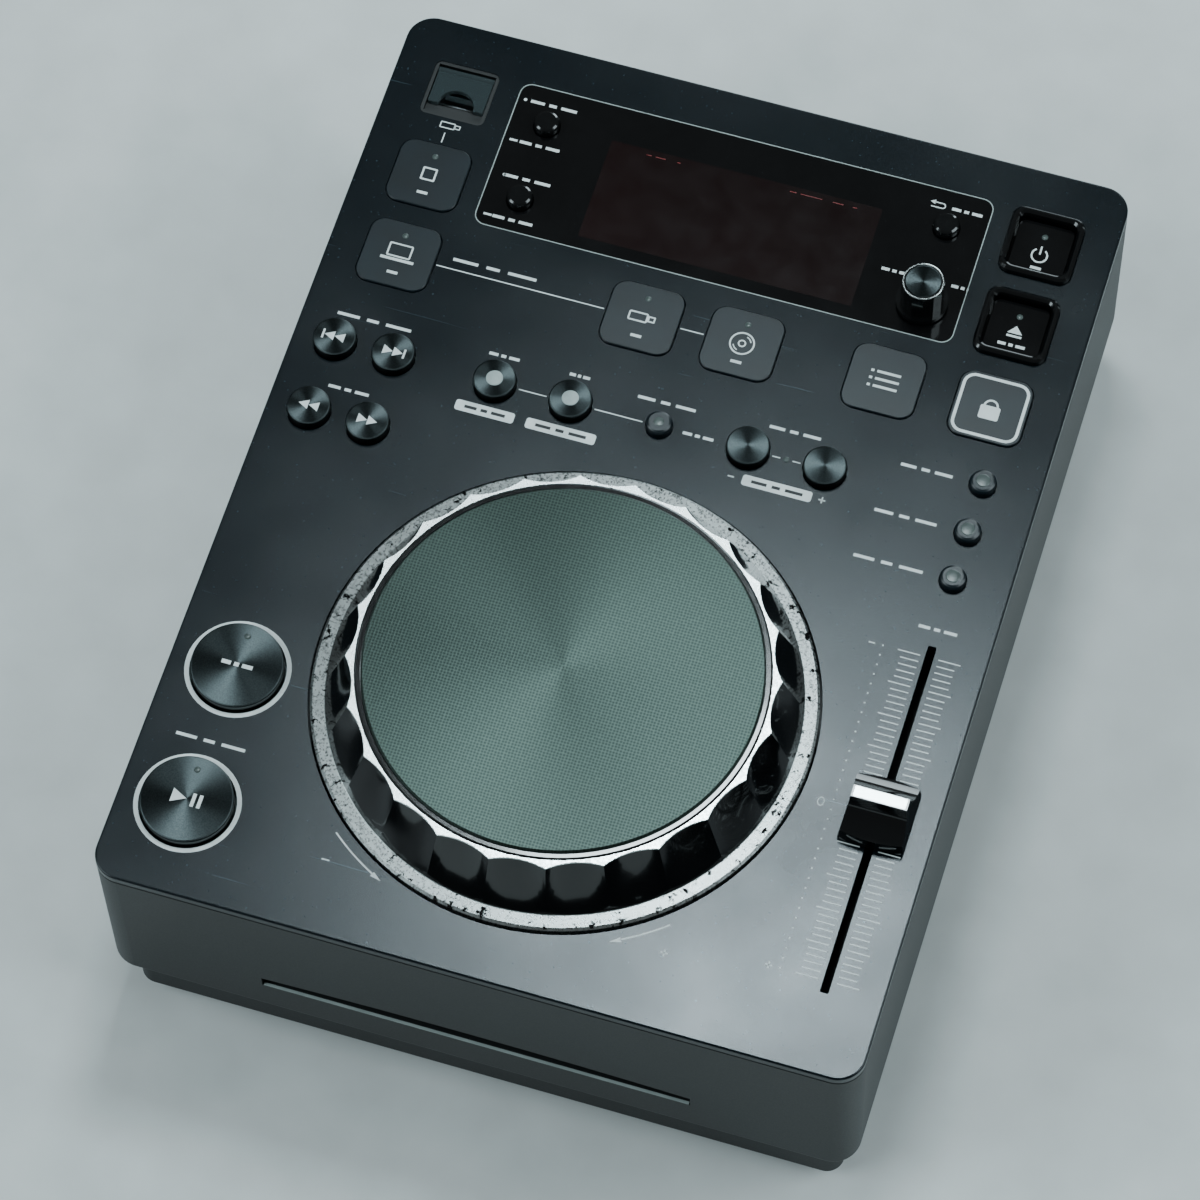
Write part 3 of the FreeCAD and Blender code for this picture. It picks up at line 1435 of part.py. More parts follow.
def make_control_board():
    low = BOARD_TOP - s.board_sheet
    left = s.board_inset - s.panel_width / 2
    width = s.panel_width - s.board_inset * 2
    rear = s.panel_depth / 2 - s.board_rear_inset
    main = block(left, PANEL_Y + s.board_front, low, width, rear - s.board_front, s.board_sheet)
    strip = block(left, PANEL_Y - rear, low, s.board_strip, rear + s.board_front, s.board_sheet)
    swept = rod(ZERO, PANEL_Y + s.jog_y, low - s.board_sheet, s.board_jog_radius, s.board_sheet * 3)
    room = s.fixed_gap * 4
    usb_rear = s.usb_y + s.usb_depth / 2 - s.usb_rim
    usb_front = s.usb_y - s.usb_depth / 2 + s.usb_rim + s.usb_ledge
    plug = middle_block(s.left_keys_x, PANEL_Y + (usb_rear + usb_front) / 2, low - s.board_sheet,
                        s.plug_width + s.plug_shell * 2 + room, s.plug_height + s.plug_shell * 2 + room,
                        s.board_sheet * 3)
    holes = [rod(x, PANEL_Y + y, low - s.board_sheet, s.screw_radius + s.screw_play, s.board_sheet * 3)
             for x, y in BOARD_BOSSES]
    board = cut(fuse([main, strip]), [swept, plug] + holes)
    places = [(x, y) for _, x, y, _ in ROUND_BUTTONS]
    places.extend((x, y) for _, x, y in SQUARE_BUTTONS + WELL_BUTTONS)
    fittings = []
    for x, y in places:
        fittings.append(middle_block(x, PANEL_Y + y, BOARD_TOP, s.switch_side, s.switch_side, s.switch_body))
        fittings.append(rod(x, PANEL_Y + y, BOARD_TOP, s.plunger_radius, s.switch_height))
    x = s.window_keys_x
    y = PANEL_Y + s.window_front_row_y
    bush_top = s.panel_top - s.selector_bush_drop
    encoder = middle_block(x, y, BOARD_TOP, s.selector_body, s.selector_body, s.selector_body_height)
    bush = rod(x, y, BOARD_TOP, s.selector_bush_radius, bush_top - BOARD_TOP)
    bore = rod(x, y, BOARD_TOP + s.selector_body_height, s.plunger_pin_radius + s.running_gap, s.board_drop)
    fittings.append(cut(fuse([encoder, bush]), [bore]))
    keep(fuse([board] + fittings), "control_board")


def make_main_board():
    low = s.main_board_z
    front = PANEL_Y + s.deep_board_front
    depth = s.deep_board_rear - s.deep_board_front
    width = s.main_board_right - s.main_board_left
    board = block(s.main_board_left, front, low, width, depth, s.board_sheet)
    top = low + s.board_sheet
    chips = [middle_block(s.main_board_left + s.chip_side * across, front + s.chip_side * 1.1, top,
                          s.chip_side, s.chip_side, s.chip_height) for across in (1, 2.4)]
    chips.append(block(s.main_board_right - s.chip_side, front + s.chip_side / 2, top,
                       s.chip_side / 2, s.chip_side, s.chip_height * 2))
    keep(fuse([board] + chips), "main_board")


def make_power_supply():
    low = s.supply_board_z
    front = PANEL_Y + s.deep_board_front
    depth = s.deep_board_rear - s.deep_board_front
    width = s.supply_board_right - s.supply_board_left
    middle = (s.supply_board_left + s.supply_board_right) / 2
    board = block(s.supply_board_left, front, low, width, depth, s.board_sheet)
    top = low + s.board_sheet / 2
    coil = middle_block(middle, front + s.coil_depth, top, s.coil_width, s.coil_depth, s.coil_height)
    cans = [rod(middle + s.reservoir_pitch / 2 * side, front + s.coil_depth * 2, top, s.reservoir_radius,
                s.reservoir_height) for side in (-1, 1)]
    sink = block(s.supply_board_left + s.post_inset * 2, front + s.post_inset / 2, top, s.coil_width,
                 s.heat_sink_skin, s.heat_sink_height)
    keep(fuse([board, coil, sink] + cans), "power_supply")


def make_rear_jacks():
    seat = jack_seat()
    sockets = []
    for x in phono_places():
        body = block(x - s.phono_body / 2, INNER_REAR - s.jack_body_depth, seat, s.phono_body,
                     s.jack_body_depth, s.phono_body)
        barrel = rod(x, INNER_REAR - s.shell_wall, phono_z(), s.phono_radius,
                     s.shell_wall * 2 + s.jack_reach, "Y")
        collar = rod(x, INNER_REAR - s.shell_wall, phono_z(), s.phono_collar,
                     s.shell_wall * 2 + s.collar_rise, "Y")
        bore = rod(x, REAR_FACE - s.shell_wall, phono_z(), s.phono_bore, s.jack_reach * 2, "Y")
        sockets.append(cut(fuse([body, barrel, collar]), [bore]))
    side = s.remote_radius * 3
    body = block(s.remote_x - side / 2, INNER_REAR - s.jack_body_depth, seat, side, s.jack_body_depth, side)
    collar = rod(s.remote_x, INNER_REAR - s.shell_wall, remote_z(), s.remote_radius,
                 s.shell_wall * 2 + s.remote_reach, "Y")
    bore = rod(s.remote_x, INNER_REAR - s.jack_body_depth / 2, remote_z(), s.remote_bore, s.jack_body_depth * 2, "Y")
    sockets.append(cut(fuse([body, collar]), [bore]))
    wall = s.square_port_wall
    width = s.square_port_width
    height = s.square_port_height
    front = INNER_REAR - s.jack_body_depth
    depth = REAR_FACE - front
    shell = block(s.square_port_x - width / 2, front, seat, width, depth, height)
    room = block(s.square_port_x - width / 2 + wall, front + wall * 4, seat + wall, width - wall * 2, depth,
                 height - wall * 2)
    core = block(s.square_port_x - s.square_port_core / 2, front + wall, seat + height / 2 - s.square_port_core_height / 2,
                 s.square_port_core, depth - wall * 4, s.square_port_core_height)
    sockets.append(fuse([cut(shell, [room]), core]))
    keep(group(sockets), "rear_jacks")


def make_mains_inlet():
    """A three-pin inlet pushed in from the rear, its flange on the wall."""
    x = s.inlet_x
    low = s.inlet_z
    flange = block(x - s.inlet_flange_width / 2, REAR_FACE, low - s.inlet_flange_height / 2,
                   s.inlet_flange_width, s.inlet_flange_skin, s.inlet_flange_height)
    front = REAR_FACE + s.inlet_flange_skin - s.inlet_body_depth
    body = block(x - s.inlet_body_width / 2, front, low - s.inlet_body_height / 2, s.inlet_body_width,
                 s.inlet_body_depth, s.inlet_body_height)
    cavity_front = REAR_FACE + s.inlet_flange_skin - s.inlet_cavity_depth
    cavity = block(x - s.inlet_cavity_width / 2, cavity_front, low - s.inlet_cavity_height / 2,
                   s.inlet_cavity_width, s.inlet_cavity_depth * 2, s.inlet_cavity_height)
    pins = []
    for across, lift in ((-s.pin_spread, -s.line_drop), (s.pin_spread, -s.line_drop), (ZERO, s.earth_lift)):
        pins.append(block(x + across - s.pin_width / 2, front + s.pin_width / 2, low + lift - s.pin_height / 2,
                          s.pin_width, s.pin_length + cavity_front - front, s.pin_height))
    keep(fuse([cut(fuse([flange, body]), [cavity])] + pins), "mains_inlet")


# disc drive


def make_slot_bezel():
    """The plate behind the front wall with the straight slot that guides the disc in."""
    z_low = s.disc_bottom - s.rest_gap
    low = z_low + s.slot_height / 2 - s.bezel_height / 2
    plate = block(s.bezel_width / -2, INNER_FRONT, low, s.bezel_width, s.bezel_skin, s.bezel_height)
    slot = block(s.slot_width / -2, INNER_FRONT - s.bezel_skin, z_low, s.slot_width, s.bezel_skin * 3, s.slot_height)
    keep(cut(plate, [slot]), "slot_bezel")


def make_drive_chassis():
    half = s.drive_width / 2
    sheet = s.drive_sheet
    front = PANEL_Y + s.drive_front
    length = s.drive_rear - s.drive_front
    floor = block(-half, front, s.drive_floor, s.drive_width, length, sheet)
    sides = [block(x, front, s.drive_floor, sheet, length, s.drive_top - s.drive_floor) for x in (-half, half - sheet)]
    roof_length = s.drive_rear - s.drive_roof_front
    roof = block(-half, PANEL_Y + s.drive_roof_front, s.drive_top - sheet, s.drive_width, roof_length, sheet)
    rear = block(-half, PANEL_Y + s.drive_rear - sheet, s.drive_floor, s.drive_width, sheet,
                 s.drive_top - s.drive_floor)
    lugs = []
    lug_side = s.axle_radius * 5
    pivot_y = PANEL_Y + s.clamp_pivot_y
    for x in (-s.clamp_lug_gap - sheet, s.clamp_lug_gap):
        lug_low = s.clamp_pivot_z - lug_side / 2
        lugs.append(block(x, pivot_y - lug_side / 2, lug_low, sheet, lug_side, s.drive_top - lug_low))
    traverse_y = PANEL_Y + s.traverse_pivot_y
    lug_x = s.traverse_width / 2 + s.moving_gap
    for x in (-lug_x - sheet, lug_x):
        lugs.append(block(x, traverse_y - lug_side / 2, s.drive_floor, sheet, lug_side,
                          pivot_height() + lug_side / 2 - s.drive_floor))
    legs = []
    leg_x = half - s.leg_inset
    for x in (-leg_x, leg_x):
        for y in (front + s.leg_inset + s.leg_radius * 2, PANEL_Y + s.drive_rear - s.leg_inset):
            legs.append(rod(x, y, PAN_FLOOR, s.leg_radius, s.drive_floor - PAN_FLOOR))
    opening = block(s.drive_opening_width / -2, PANEL_Y + s.drive_opening_front, s.drive_floor - sheet,
                    s.drive_opening_width, s.drive_opening_rear - s.drive_opening_front, sheet * 3)
    bore = s.axle_radius + s.running_gap
    bores = [
        rod(-half - sheet, PANEL_Y + s.roller_y, roller_height(), bore, s.drive_width + sheet * 2, "X"),
        rod(-s.clamp_lug_gap * 2, pivot_y, s.clamp_pivot_z, bore, s.clamp_lug_gap * 4, "X"),
        rod(-lug_x - sheet * 2, traverse_y, pivot_height(), bore, (lug_x + sheet * 2) * 2, "X"),
    ]
    keep(cut(fuse([floor, roof, rear] + sides + lugs + legs), [opening] + bores), "drive_chassis")


def roller_height():
    return s.disc_bottom - s.roller_radius


def traverse_bottom():
    return s.drive_floor + s.drive_sheet + s.traverse_lift


def pivot_height():
    return traverse_bottom() + s.traverse_skin / 2 + s.axle_radius


def make_roller():
    y = PANEL_Y + s.roller_y
    reach = s.drive_width / 2
    rubber = rod(-s.roller_half, y, roller_height(), s.roller_radius, s.roller_half * 2, "X")
    axle = rod(-reach, y, roller_height(), s.axle_radius, reach * 2, "X")
    keep(fuse([rubber, axle]), "loading_roller")


def make_clamp_arm():
    """The arm that presses the disc on its turntable: a pivot pin, a flat arm and a puck."""
    pivot_y = PANEL_Y + s.clamp_pivot_y
    spindle_y = PANEL_Y + s.spindle_y
    half = s.clamp_arm_width / 2
    low = s.clamp_pivot_z - s.clamp_arm_skin / 2
    arm = block(-half, spindle_y, low, s.clamp_arm_width, pivot_y - spindle_y, s.clamp_arm_skin)
    reach = s.clamp_lug_gap + s.drive_sheet
    pin = rod(-reach, pivot_y, s.clamp_pivot_z, s.axle_radius, reach * 2, "X")
    puck_bottom = s.disc_bottom + s.clamp_clear
    puck = rod(ZERO, spindle_y, puck_bottom, s.clamp_puck_radius, low + s.clamp_arm_skin - puck_bottom)
    keep(fuse([arm, pin, puck]), "clamp_arm")


def make_traverse():
    """The sub-frame that lifts the turntable to the disc, with its motors, rods and sled."""
    low = traverse_bottom()
    top = low + s.traverse_skin
    half = s.traverse_width / 2
    front = PANEL_Y + s.traverse_front
    pivot_y = PANEL_Y + s.traverse_pivot_y
    spindle_y = PANEL_Y + s.spindle_y
    plate = block(-half, front, low, s.traverse_width, pivot_y - front, s.traverse_skin)
    reach = half + s.moving_gap + s.drive_sheet
    pin = rod(-reach, pivot_y, pivot_height(), s.axle_radius, reach * 2, "X")
    blocks = []
    rods = []
    screw_bores = []
    rod_length = s.rod_rear - s.rod_front
    block_top = s.rod_z + s.rod_radius + s.running_gap * 10
    for y in (s.rod_front, s.rod_rear - s.rod_block_length):
        for x in (-s.rod_x, s.rod_x, s.feed_x):
            blocks.append(middle_block(x, PANEL_Y + y + s.rod_block_length / 2, top - s.traverse_skin / 2,
                                       s.rod_block_width, s.rod_block_length, block_top - top + s.traverse_skin / 2))
    for x in (-s.rod_x, s.rod_x):
        rods.append(rod(x, PANEL_Y + s.rod_front, s.rod_z, s.rod_radius, rod_length, "Y"))
    screw_bores.append(rod(s.feed_x, PANEL_Y + s.rod_front - s.rod_block_length, s.rod_z,
                           s.feed_radius + s.running_gap, rod_length + s.rod_block_length * 2, "Y"))
    motor_room = rod(ZERO, spindle_y, low - s.motor_height, s.motor_shaft_radius * 3, s.motor_height * 3)
    keep(cut(fuse([plate, pin] + blocks + rods), screw_bores + [motor_room]), "traverse_frame")

    can = rod(ZERO, spindle_y, low - s.motor_height, s.motor_radius, s.motor_height)
    bore = rod(ZERO, spindle_y, low - s.motor_height / 2, s.motor_shaft_radius + s.running_gap, s.motor_height)
    keep(cut(can, [bore]), "spindle_motor")

    seat = s.turntable_seat - low
    rim_bottom = seat - s.turntable_skin
    shaft_foot = s.motor_height / -3
    profile = (
        (ZERO, shaft_foot),
        (s.motor_shaft_radius, shaft_foot),
        (s.motor_shaft_radius, rim_bottom),
        (s.turntable_radius, rim_bottom),
        (s.turntable_radius, seat),
        (s.cone_radius, seat),
        (s.cone_top_radius, seat + s.cone_height),
        (ZERO, seat + s.cone_height),
    )
    keep(turned("turntable", profile, ZERO, spindle_y, low), "turntable")

    sled_low = s.rod_z - s.sled_height / 2
    sled_y = PANEL_Y + s.sled_y
    sled_right = s.feed_x + s.sled_side
    sled_left = -s.rod_x - s.sled_side
    sled = block(sled_left, sled_y - s.sled_length / 2, sled_low, sled_right - sled_left, s.sled_length,
                 s.sled_height)
    lens = rod(ZERO, sled_y, sled_low, s.lens_radius, s.sled_height + s.lens_height)
    grip = s.sled_length * 2
    sled_front = sled_y - s.sled_length
    bores = [rod(x, sled_front, s.rod_z, s.rod_radius + s.running_gap, grip, "Y") for x in (-s.rod_x, s.rod_x)]
    bores.append(rod(s.feed_x, sled_front, s.rod_z, s.feed_radius + s.running_gap * 2, grip, "Y"))
    keep(cut(fuse([sled, lens]), bores), "pickup_sled")

    feed = rod(s.feed_x, PANEL_Y + s.rod_front, s.rod_z, s.feed_radius, rod_length, "Y")
    motor = rod(s.feed_x, PANEL_Y + s.rod_rear + s.moving_gap, s.rod_z, s.feed_radius * 1.5, s.rod_block_length, "Y")
    shaft = rod(s.feed_x, PANEL_Y + s.rod_front, s.rod_z, s.feed_radius, rod_length + s.rod_block_length, "Y")
    keep(fuse([feed, shaft, motor]), "feed_screw")


# build, check and write


make_top_panel()
make_case_shell()
make_base_chassis()
make_feet()
make_screws()
make_buttons()
make_guard_frames()
make_window()
make_display()
make_usb()
make_selector()
make_fader()
make_jog_ring()
make_jog_wheel()
make_jog_mount()
make_control_board()
make_main_board()
make_power_supply()
make_rear_jacks()
make_mains_inlet()
make_slot_bezel()
make_drive_chassis()
make_roller()
make_clamp_arm()
make_traverse()
doc.recompute()

for thing in doc.Objects:
    if "Invalid" in thing.State or "Error" in thing.State:
        raise ValueError(thing.Label + " failed: " + ", ".join(thing.State))
os.makedirs("parts", exist_ok=True)
for thing in kept:
    if thing.Shape.isNull() or not thing.Shape.isValid():
        raise ValueError(thing.Label + " has no valid shape")
    thing.Shape.exportStep("parts/" + thing.Label + ".step")
print(len(kept), "sub-parts written")
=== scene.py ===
"""Dresses a tabletop disc player: the finish of every solid, printed marks, lamps, lenses and trim."""
import math

import bmesh
import bpy
from mathutils import Matrix, Vector


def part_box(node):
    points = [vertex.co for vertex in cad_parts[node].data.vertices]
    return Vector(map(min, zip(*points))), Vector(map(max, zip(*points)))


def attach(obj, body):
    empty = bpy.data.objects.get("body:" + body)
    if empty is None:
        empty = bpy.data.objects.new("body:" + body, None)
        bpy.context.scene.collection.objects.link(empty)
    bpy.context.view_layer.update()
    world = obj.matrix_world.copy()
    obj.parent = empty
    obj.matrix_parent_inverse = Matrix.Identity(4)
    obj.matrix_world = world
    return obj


bl_info = {
    "name": "Tabletop disc player",
    "version": (1, 0, 0),
    "blender": (4, 5, 0),
    "location": "View3D > Sidebar > Player",
    "description": "Dresses the solids of a tabletop disc player",
    "category": "Object",
}

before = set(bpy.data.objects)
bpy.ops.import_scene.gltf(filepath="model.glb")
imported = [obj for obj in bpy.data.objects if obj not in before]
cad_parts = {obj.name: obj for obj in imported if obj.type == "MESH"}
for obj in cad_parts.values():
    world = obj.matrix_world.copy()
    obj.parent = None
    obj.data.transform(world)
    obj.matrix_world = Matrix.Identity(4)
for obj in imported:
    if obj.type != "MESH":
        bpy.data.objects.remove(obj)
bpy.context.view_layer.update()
MM = 0.001
ROUND_STEPS = 48
DOT_STEPS = 24
TURNED_STEPS = 96
ROOT = 0.01  # how far a printed mark reaches into its surface, in mm


# helpers


def middle(node):
    """The middle of a solid in plan, at its top, in metres."""
    low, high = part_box(node)
    return Vector(((low[0] + high[0]) / 2, (low[1] + high[1]) / 2, high[2]))


def circle(steps):
    """The cosine and sine of equal steps round a circle."""
    angles = [2 * math.pi * i / steps for i in range(steps)]
    return [(math.cos(angle), math.sin(angle)) for angle in angles]


def linear(colour):
    """An sRGB hex colour as the linear values that a shader takes."""
    parts = [int(colour[i:i + 2], 16) / 255 for i in (1, 3, 5)]
    return tuple(p / 12.92 if p <= 0.04045 else ((p + 0.055) / 1.055) ** 2.4 for p in parts) + (1.0,)


def per_metre(size_mm):
    """The texture scale that gives features of a size in millimetres."""
    return 1 / (size_mm * MM)


def add(tree, kind, settings=None, links=None):
    """Add a node with its settings and the links to its inputs."""
    node = tree.nodes.new(kind)
    for key, value in (settings or {}).items():
        if isinstance(key, str) and hasattr(node, key):
            setattr(node, key, value)
        else:
            node.inputs[key].default_value = value
    for key, output in (links or {}).items():
        tree.links.new(output, node.inputs[key])
    return node


def ramp(tree, source, stops):
    """A colour ramp over a value, from pairs of place and hex colour."""
    node = add(tree, "ShaderNodeValToRGB", links={"Fac": source})
    elements = node.color_ramp.elements
    while len(elements) < len(stops):
        elements.new(0.5)
    for element, (place, colour) in zip(elements, stops):
        element.position = place
        element.color = linear(colour)
    return node.outputs["Color"]


def start(name, colour, roughness, **sockets):
    """A material with its shader, its tree and the object coordinates."""
    material = bpy.data.materials.new(name)
    material.use_nodes = True
    tree = material.node_tree
    shader = tree.nodes["Principled BSDF"]
    shader.inputs["Base Color"].default_value = linear(colour)
    shader.inputs["Roughness"].default_value = roughness
    for key, value in sockets.items():
        shader.inputs[key.replace("_", " ")].default_value = value
    place = add(tree, "ShaderNodeTexCoord").outputs["Object"]
    material.diffuse_color = linear(colour)
    return material, tree, shader, place


def grain(tree, shader, place, size_mm, height_mm, spread=0.0, roughness=0.5):
    """A fine moulded grain: bumps of a size and height, with the roughness spread round its value."""
    noise = add(tree, "ShaderNodeTexNoise", {"Scale": per_metre(size_mm), "Detail": 3.0}, {"Vector": place})
    bump = add(tree, "ShaderNodeBump", {"Strength": 0.6, "Distance": height_mm * MM},
               {"Height": noise.outputs["Fac"]})
    tree.links.new(bump.outputs["Normal"], shader.inputs["Normal"])
    if spread:
        rough = add(tree, "ShaderNodeMapRange", {"To Min": roughness - spread, "To Max": roughness + spread},
                    {"Value": noise.outputs["Fac"]})
        tree.links.new(rough.outputs["Result"], shader.inputs["Roughness"])
    return noise


def tinted(tree, shader, place, size_mm, stops):
    """Slow changes of tone over a surface."""
    noise = add(tree, "ShaderNodeTexNoise", {"Scale": per_metre(size_mm), "Detail": 4.0}, {"Vector": place})
    tree.links.new(ramp(tree, noise.outputs["Fac"], stops), shader.inputs["Base Color"])


# materials


def metallic_paint():
    """Metallic paint on the moulded deck: blue-black, with a glint of fine flake and hairline scratches."""
    material, tree, shader, place = start("metallic_paint_satin", "#091218", 0.25, Metallic=0.3)
    flake = add(tree, "ShaderNodeTexVoronoi", {"Scale": per_metre(0.35)}, {"Vector": place})
    glint = ramp(tree, flake.outputs["Color"], ((0.0, "#070f14"), (0.75, "#091318"), (0.93, "#121f26"),
                                                (1.0, "#36474f")))
    stretch = add(tree, "ShaderNodeMapping", {"Scale": (25.0, 900.0, 25.0), "Rotation": (0.0, 0.0, 0.9)},
                  {"Vector": place})
    scratch = add(tree, "ShaderNodeTexNoise", {"Scale": 1.0, "Detail": 1.0},
                  {"Vector": stretch.outputs["Vector"]})
    thin = add(tree, "ShaderNodeMapRange", {"From Min": 0.74, "From Max": 0.8, "To Max": 0.35},
               {"Value": scratch.outputs["Fac"]})
    tone = add(tree, "ShaderNodeMix", {"data_type": "RGBA"}, {"Factor": thin.outputs["Result"]})
    tree.links.new(glint, tone.inputs[6])
    tone.inputs[7].default_value = linear("#3f5058")
    tree.links.new(tone.outputs[2], shader.inputs["Base Color"])
    cloud = add(tree, "ShaderNodeTexNoise", {"Scale": per_metre(45.0), "Detail": 5.0}, {"Vector": place})
    rough = add(tree, "ShaderNodeMapRange",
                {"From Min": 0.3, "From Max": 0.7, "To Min": 0.21, "To Max": 0.28},
                {"Value": cloud.outputs["Fac"]})
    tree.links.new(rough.outputs["Result"], shader.inputs["Roughness"])
    bump = add(tree, "ShaderNodeBump", {"Strength": 0.25, "Distance": 0.03 * MM},
               {"Height": flake.outputs["Distance"]})
    tree.links.new(bump.outputs["Normal"], shader.inputs["Normal"])
    return material


def moulded_plastic():
    """Moulded ABS with a spark-eroded texture: near black and softly matt."""
    material, tree, shader, place = start("moulded_abs_black", "#090c0d", 0.48)
    grain(tree, shader, place, 0.5, 0.03, 0.07, 0.5)
    tinted(tree, shader, place, 30.0, ((0.3, "#080b0c"), (0.7, "#0c1011")))
    return material


def button_plastic():
    """Moulded and painted ABS keys: the deck's blue-grey, a little smoother than the deck."""
    material, tree, shader, place = start("painted_abs_key", "#091318", 0.3)
    grain(tree, shader, place, 0.4, 0.008, 0.04, 0.3)
    tinted(tree, shader, place, 9.0, ((0.3, "#081116"), (0.7, "#0d191f")))
    return material


def gloss_plastic():
    """Polished black ABS: deep black with sharp reflections and a faint orange peel."""
    material, tree, shader, place = start("polished_abs_black", "#070809", 0.12,
                                            Coat_Weight=0.6, Coat_Roughness=0.05)
    grain(tree, shader, place, 2.5, 0.01, 0.03, 0.13)
    return material


def smoked_acrylic():
    """Smoked acrylic over the display: almost black, glossy, with the odd speck of dust."""
    material, tree, shader, place = start("smoked_acrylic", "#0a0a0b", 0.08,
                                            Coat_Weight=0.4, Coat_Roughness=0.04)
    dust = add(tree, "ShaderNodeTexVoronoi", {"Scale": per_metre(2.2)}, {"Vector": place})
    specks = ramp(tree, dust.outputs["Distance"], ((0.0, "#4a4f50"), (0.035, "#0a0a0b"), (1.0, "#080809")))
    tree.links.new(specks, shader.inputs["Base Color"])
    rough = add(tree, "ShaderNodeTexNoise", {"Scale": per_metre(18.0)}, {"Vector": place})
    spread = add(tree, "ShaderNodeMapRange", {"To Min": 0.05, "To Max": 0.16},
                 {"Value": rough.outputs["Fac"]})
    tree.links.new(spread.outputs["Result"], shader.inputs["Roughness"])
    return material


def clear_smoke():
    """Clear smoked polycarbonate of the flap: dark, glossy and partly see-through."""
    material, tree, shader, place = start("smoked_polycarbonate", "#59676a", 0.1,
                                            Transmission_Weight=0.75, IOR=1.58)
    grain(tree, shader, place, 3.0, 0.008, 0.03, 0.1)
    return material


def spun_metal():
    """Aluminium faces turned on a lathe and dark-anodised: fine rings that fan the light into two wedges."""
    material, tree, shader, place = start("spun_anodised_aluminium", "#33393a", 0.32,
                                            Metallic=1.0, Anisotropic=0.9)
    tangent = add(tree, "ShaderNodeTangent", {"direction_type": "RADIAL", "axis": "Z"})
    tree.links.new(tangent.outputs["Tangent"], shader.inputs["Tangent"])
    tinted(tree, shader, place, 0.4, ((0.3, "#2e3334"), (0.7, "#3d4344")))
    return material


def jog_metal():
    """Embossed aluminium disc: grey-green, with fine dots pressed in rows and a soft wedge of light."""
    material, tree, shader, place = start("embossed_aluminium", "#3d4946", 0.4,
                                            Metallic=0.9, Anisotropic=0.8)
    tangent = add(tree, "ShaderNodeTangent", {"direction_type": "RADIAL", "axis": "Z"})
    tree.links.new(tangent.outputs["Tangent"], shader.inputs["Tangent"])
    dots = add(tree, "ShaderNodeTexVoronoi", {"Scale": per_metre(0.9), "Randomness": 0.15},
               {"Vector": place})
    tone = ramp(tree, dots.outputs["Distance"], ((0.0, "#232b2a"), (0.35, "#38443f"), (0.7, "#495652")))
    tree.links.new(tone, shader.inputs["Base Color"])
    bump = add(tree, "ShaderNodeBump", {"Strength": 0.5, "Distance": 0.05 * MM},
               {"Height": dots.outputs["Distance"]})
    tree.links.new(bump.outputs["Normal"], shader.inputs["Normal"])
    return material


def plated_ring(centre, inner, outer):
    """The jog ring by place: plated crown, polished black facets, and a silver rim that flakes to black."""
    material, tree, shader, place = start("plated_and_polished_abs", "#070809", 0.12, Coat_Weight=0.3)
    shift = add(tree, "ShaderNodeVectorMath", {"operation": "SUBTRACT", 1: centre}, {0: place})
    flat = add(tree, "ShaderNodeVectorMath", {"operation": "MULTIPLY", 1: (1.0, 1.0, 0.0)},
               {0: shift.outputs["Vector"]})
    reach = add(tree, "ShaderNodeVectorMath", {"operation": "LENGTH"}, {0: flat.outputs["Vector"]})
    height = add(tree, "ShaderNodeSeparateXYZ", links={"Vector": shift.outputs["Vector"]})
    crown = add(tree, "ShaderNodeMath", {"operation": "GREATER_THAN", 1: inner}, {0: height.outputs["Z"]})
    rim = add(tree, "ShaderNodeMath", {"operation": "GREATER_THAN", 1: outer}, {0: reach.outputs["Value"]})
    noise = add(tree, "ShaderNodeTexNoise", {"Scale": per_metre(3.2), "Detail": 8.0, "Roughness": 0.7},
                {"Vector": place})
    sound = add(tree, "ShaderNodeMath", {"operation": "LESS_THAN", 1: 0.59}, {0: noise.outputs["Fac"]})
    worn = add(tree, "ShaderNodeMath", {"operation": "MULTIPLY"}, {0: rim.outputs[0], 1: sound.outputs[0]})
    plated = add(tree, "ShaderNodeMath", {"operation": "MAXIMUM"},
                 {0: worn.outputs[0], 1: crown.outputs[0]})
    tone = ramp(tree, plated.outputs[0], ((0.0, "#070809"), (1.0, "#d8dedd")))
    tree.links.new(tone, shader.inputs["Base Color"])
    tree.links.new(plated.outputs[0], shader.inputs["Metallic"])
    fine = add(tree, "ShaderNodeTexNoise", {"Scale": per_metre(0.7), "Detail": 4.0}, {"Vector": place})
    speckle = add(tree, "ShaderNodeMath", {"operation": "MULTIPLY", 1: 0.4},
                  {0: fine.outputs["Fac"]})
    rough = add(tree, "ShaderNodeMath", {"operation": "MULTIPLY_ADD", 2: 0.1},
                {0: speckle.outputs[0], 1: plated.outputs[0]})
    tree.links.new(rough.outputs[0], shader.inputs["Roughness"])
    return material


def plain_metal(name, colour, roughness, size_mm):
    """Sheet or turned steel: a fine drawn grain under a cool grey."""
    material, tree, shader, place = start(name, colour, roughness, Metallic=1.0)
    stretch = add(tree, "ShaderNodeMapping", {"Scale": (1.0, 12.0, 1.0)}, {"Vector": place})
    noise = add(tree, "ShaderNodeTexNoise", {"Scale": per_metre(size_mm), "Detail": 4.0},
                {"Vector": stretch.outputs["Vector"]})
    spread = add(tree, "ShaderNodeMapRange", {"To Min": roughness - 0.1, "To Max": roughness + 0.12},
                 {"Value": noise.outputs["Fac"]})
    tree.links.new(spread.outputs["Result"], shader.inputs["Roughness"])
    return material


def plain_plastic(name, colours, roughness, size_mm, height_mm):
    """Moulded plastic, rubber, lacquer, ink or a painted highlight: a fine grain and a slow change between
    two tones.
    """
    material, tree, shader, place = start(name, colours[0], roughness)
    grain(tree, shader, place, size_mm, height_mm, 0.05, roughness)
    tinted(tree, shader, place, size_mm * 12, ((0.3, colours[0]), (0.7, colours[1])))
    return material


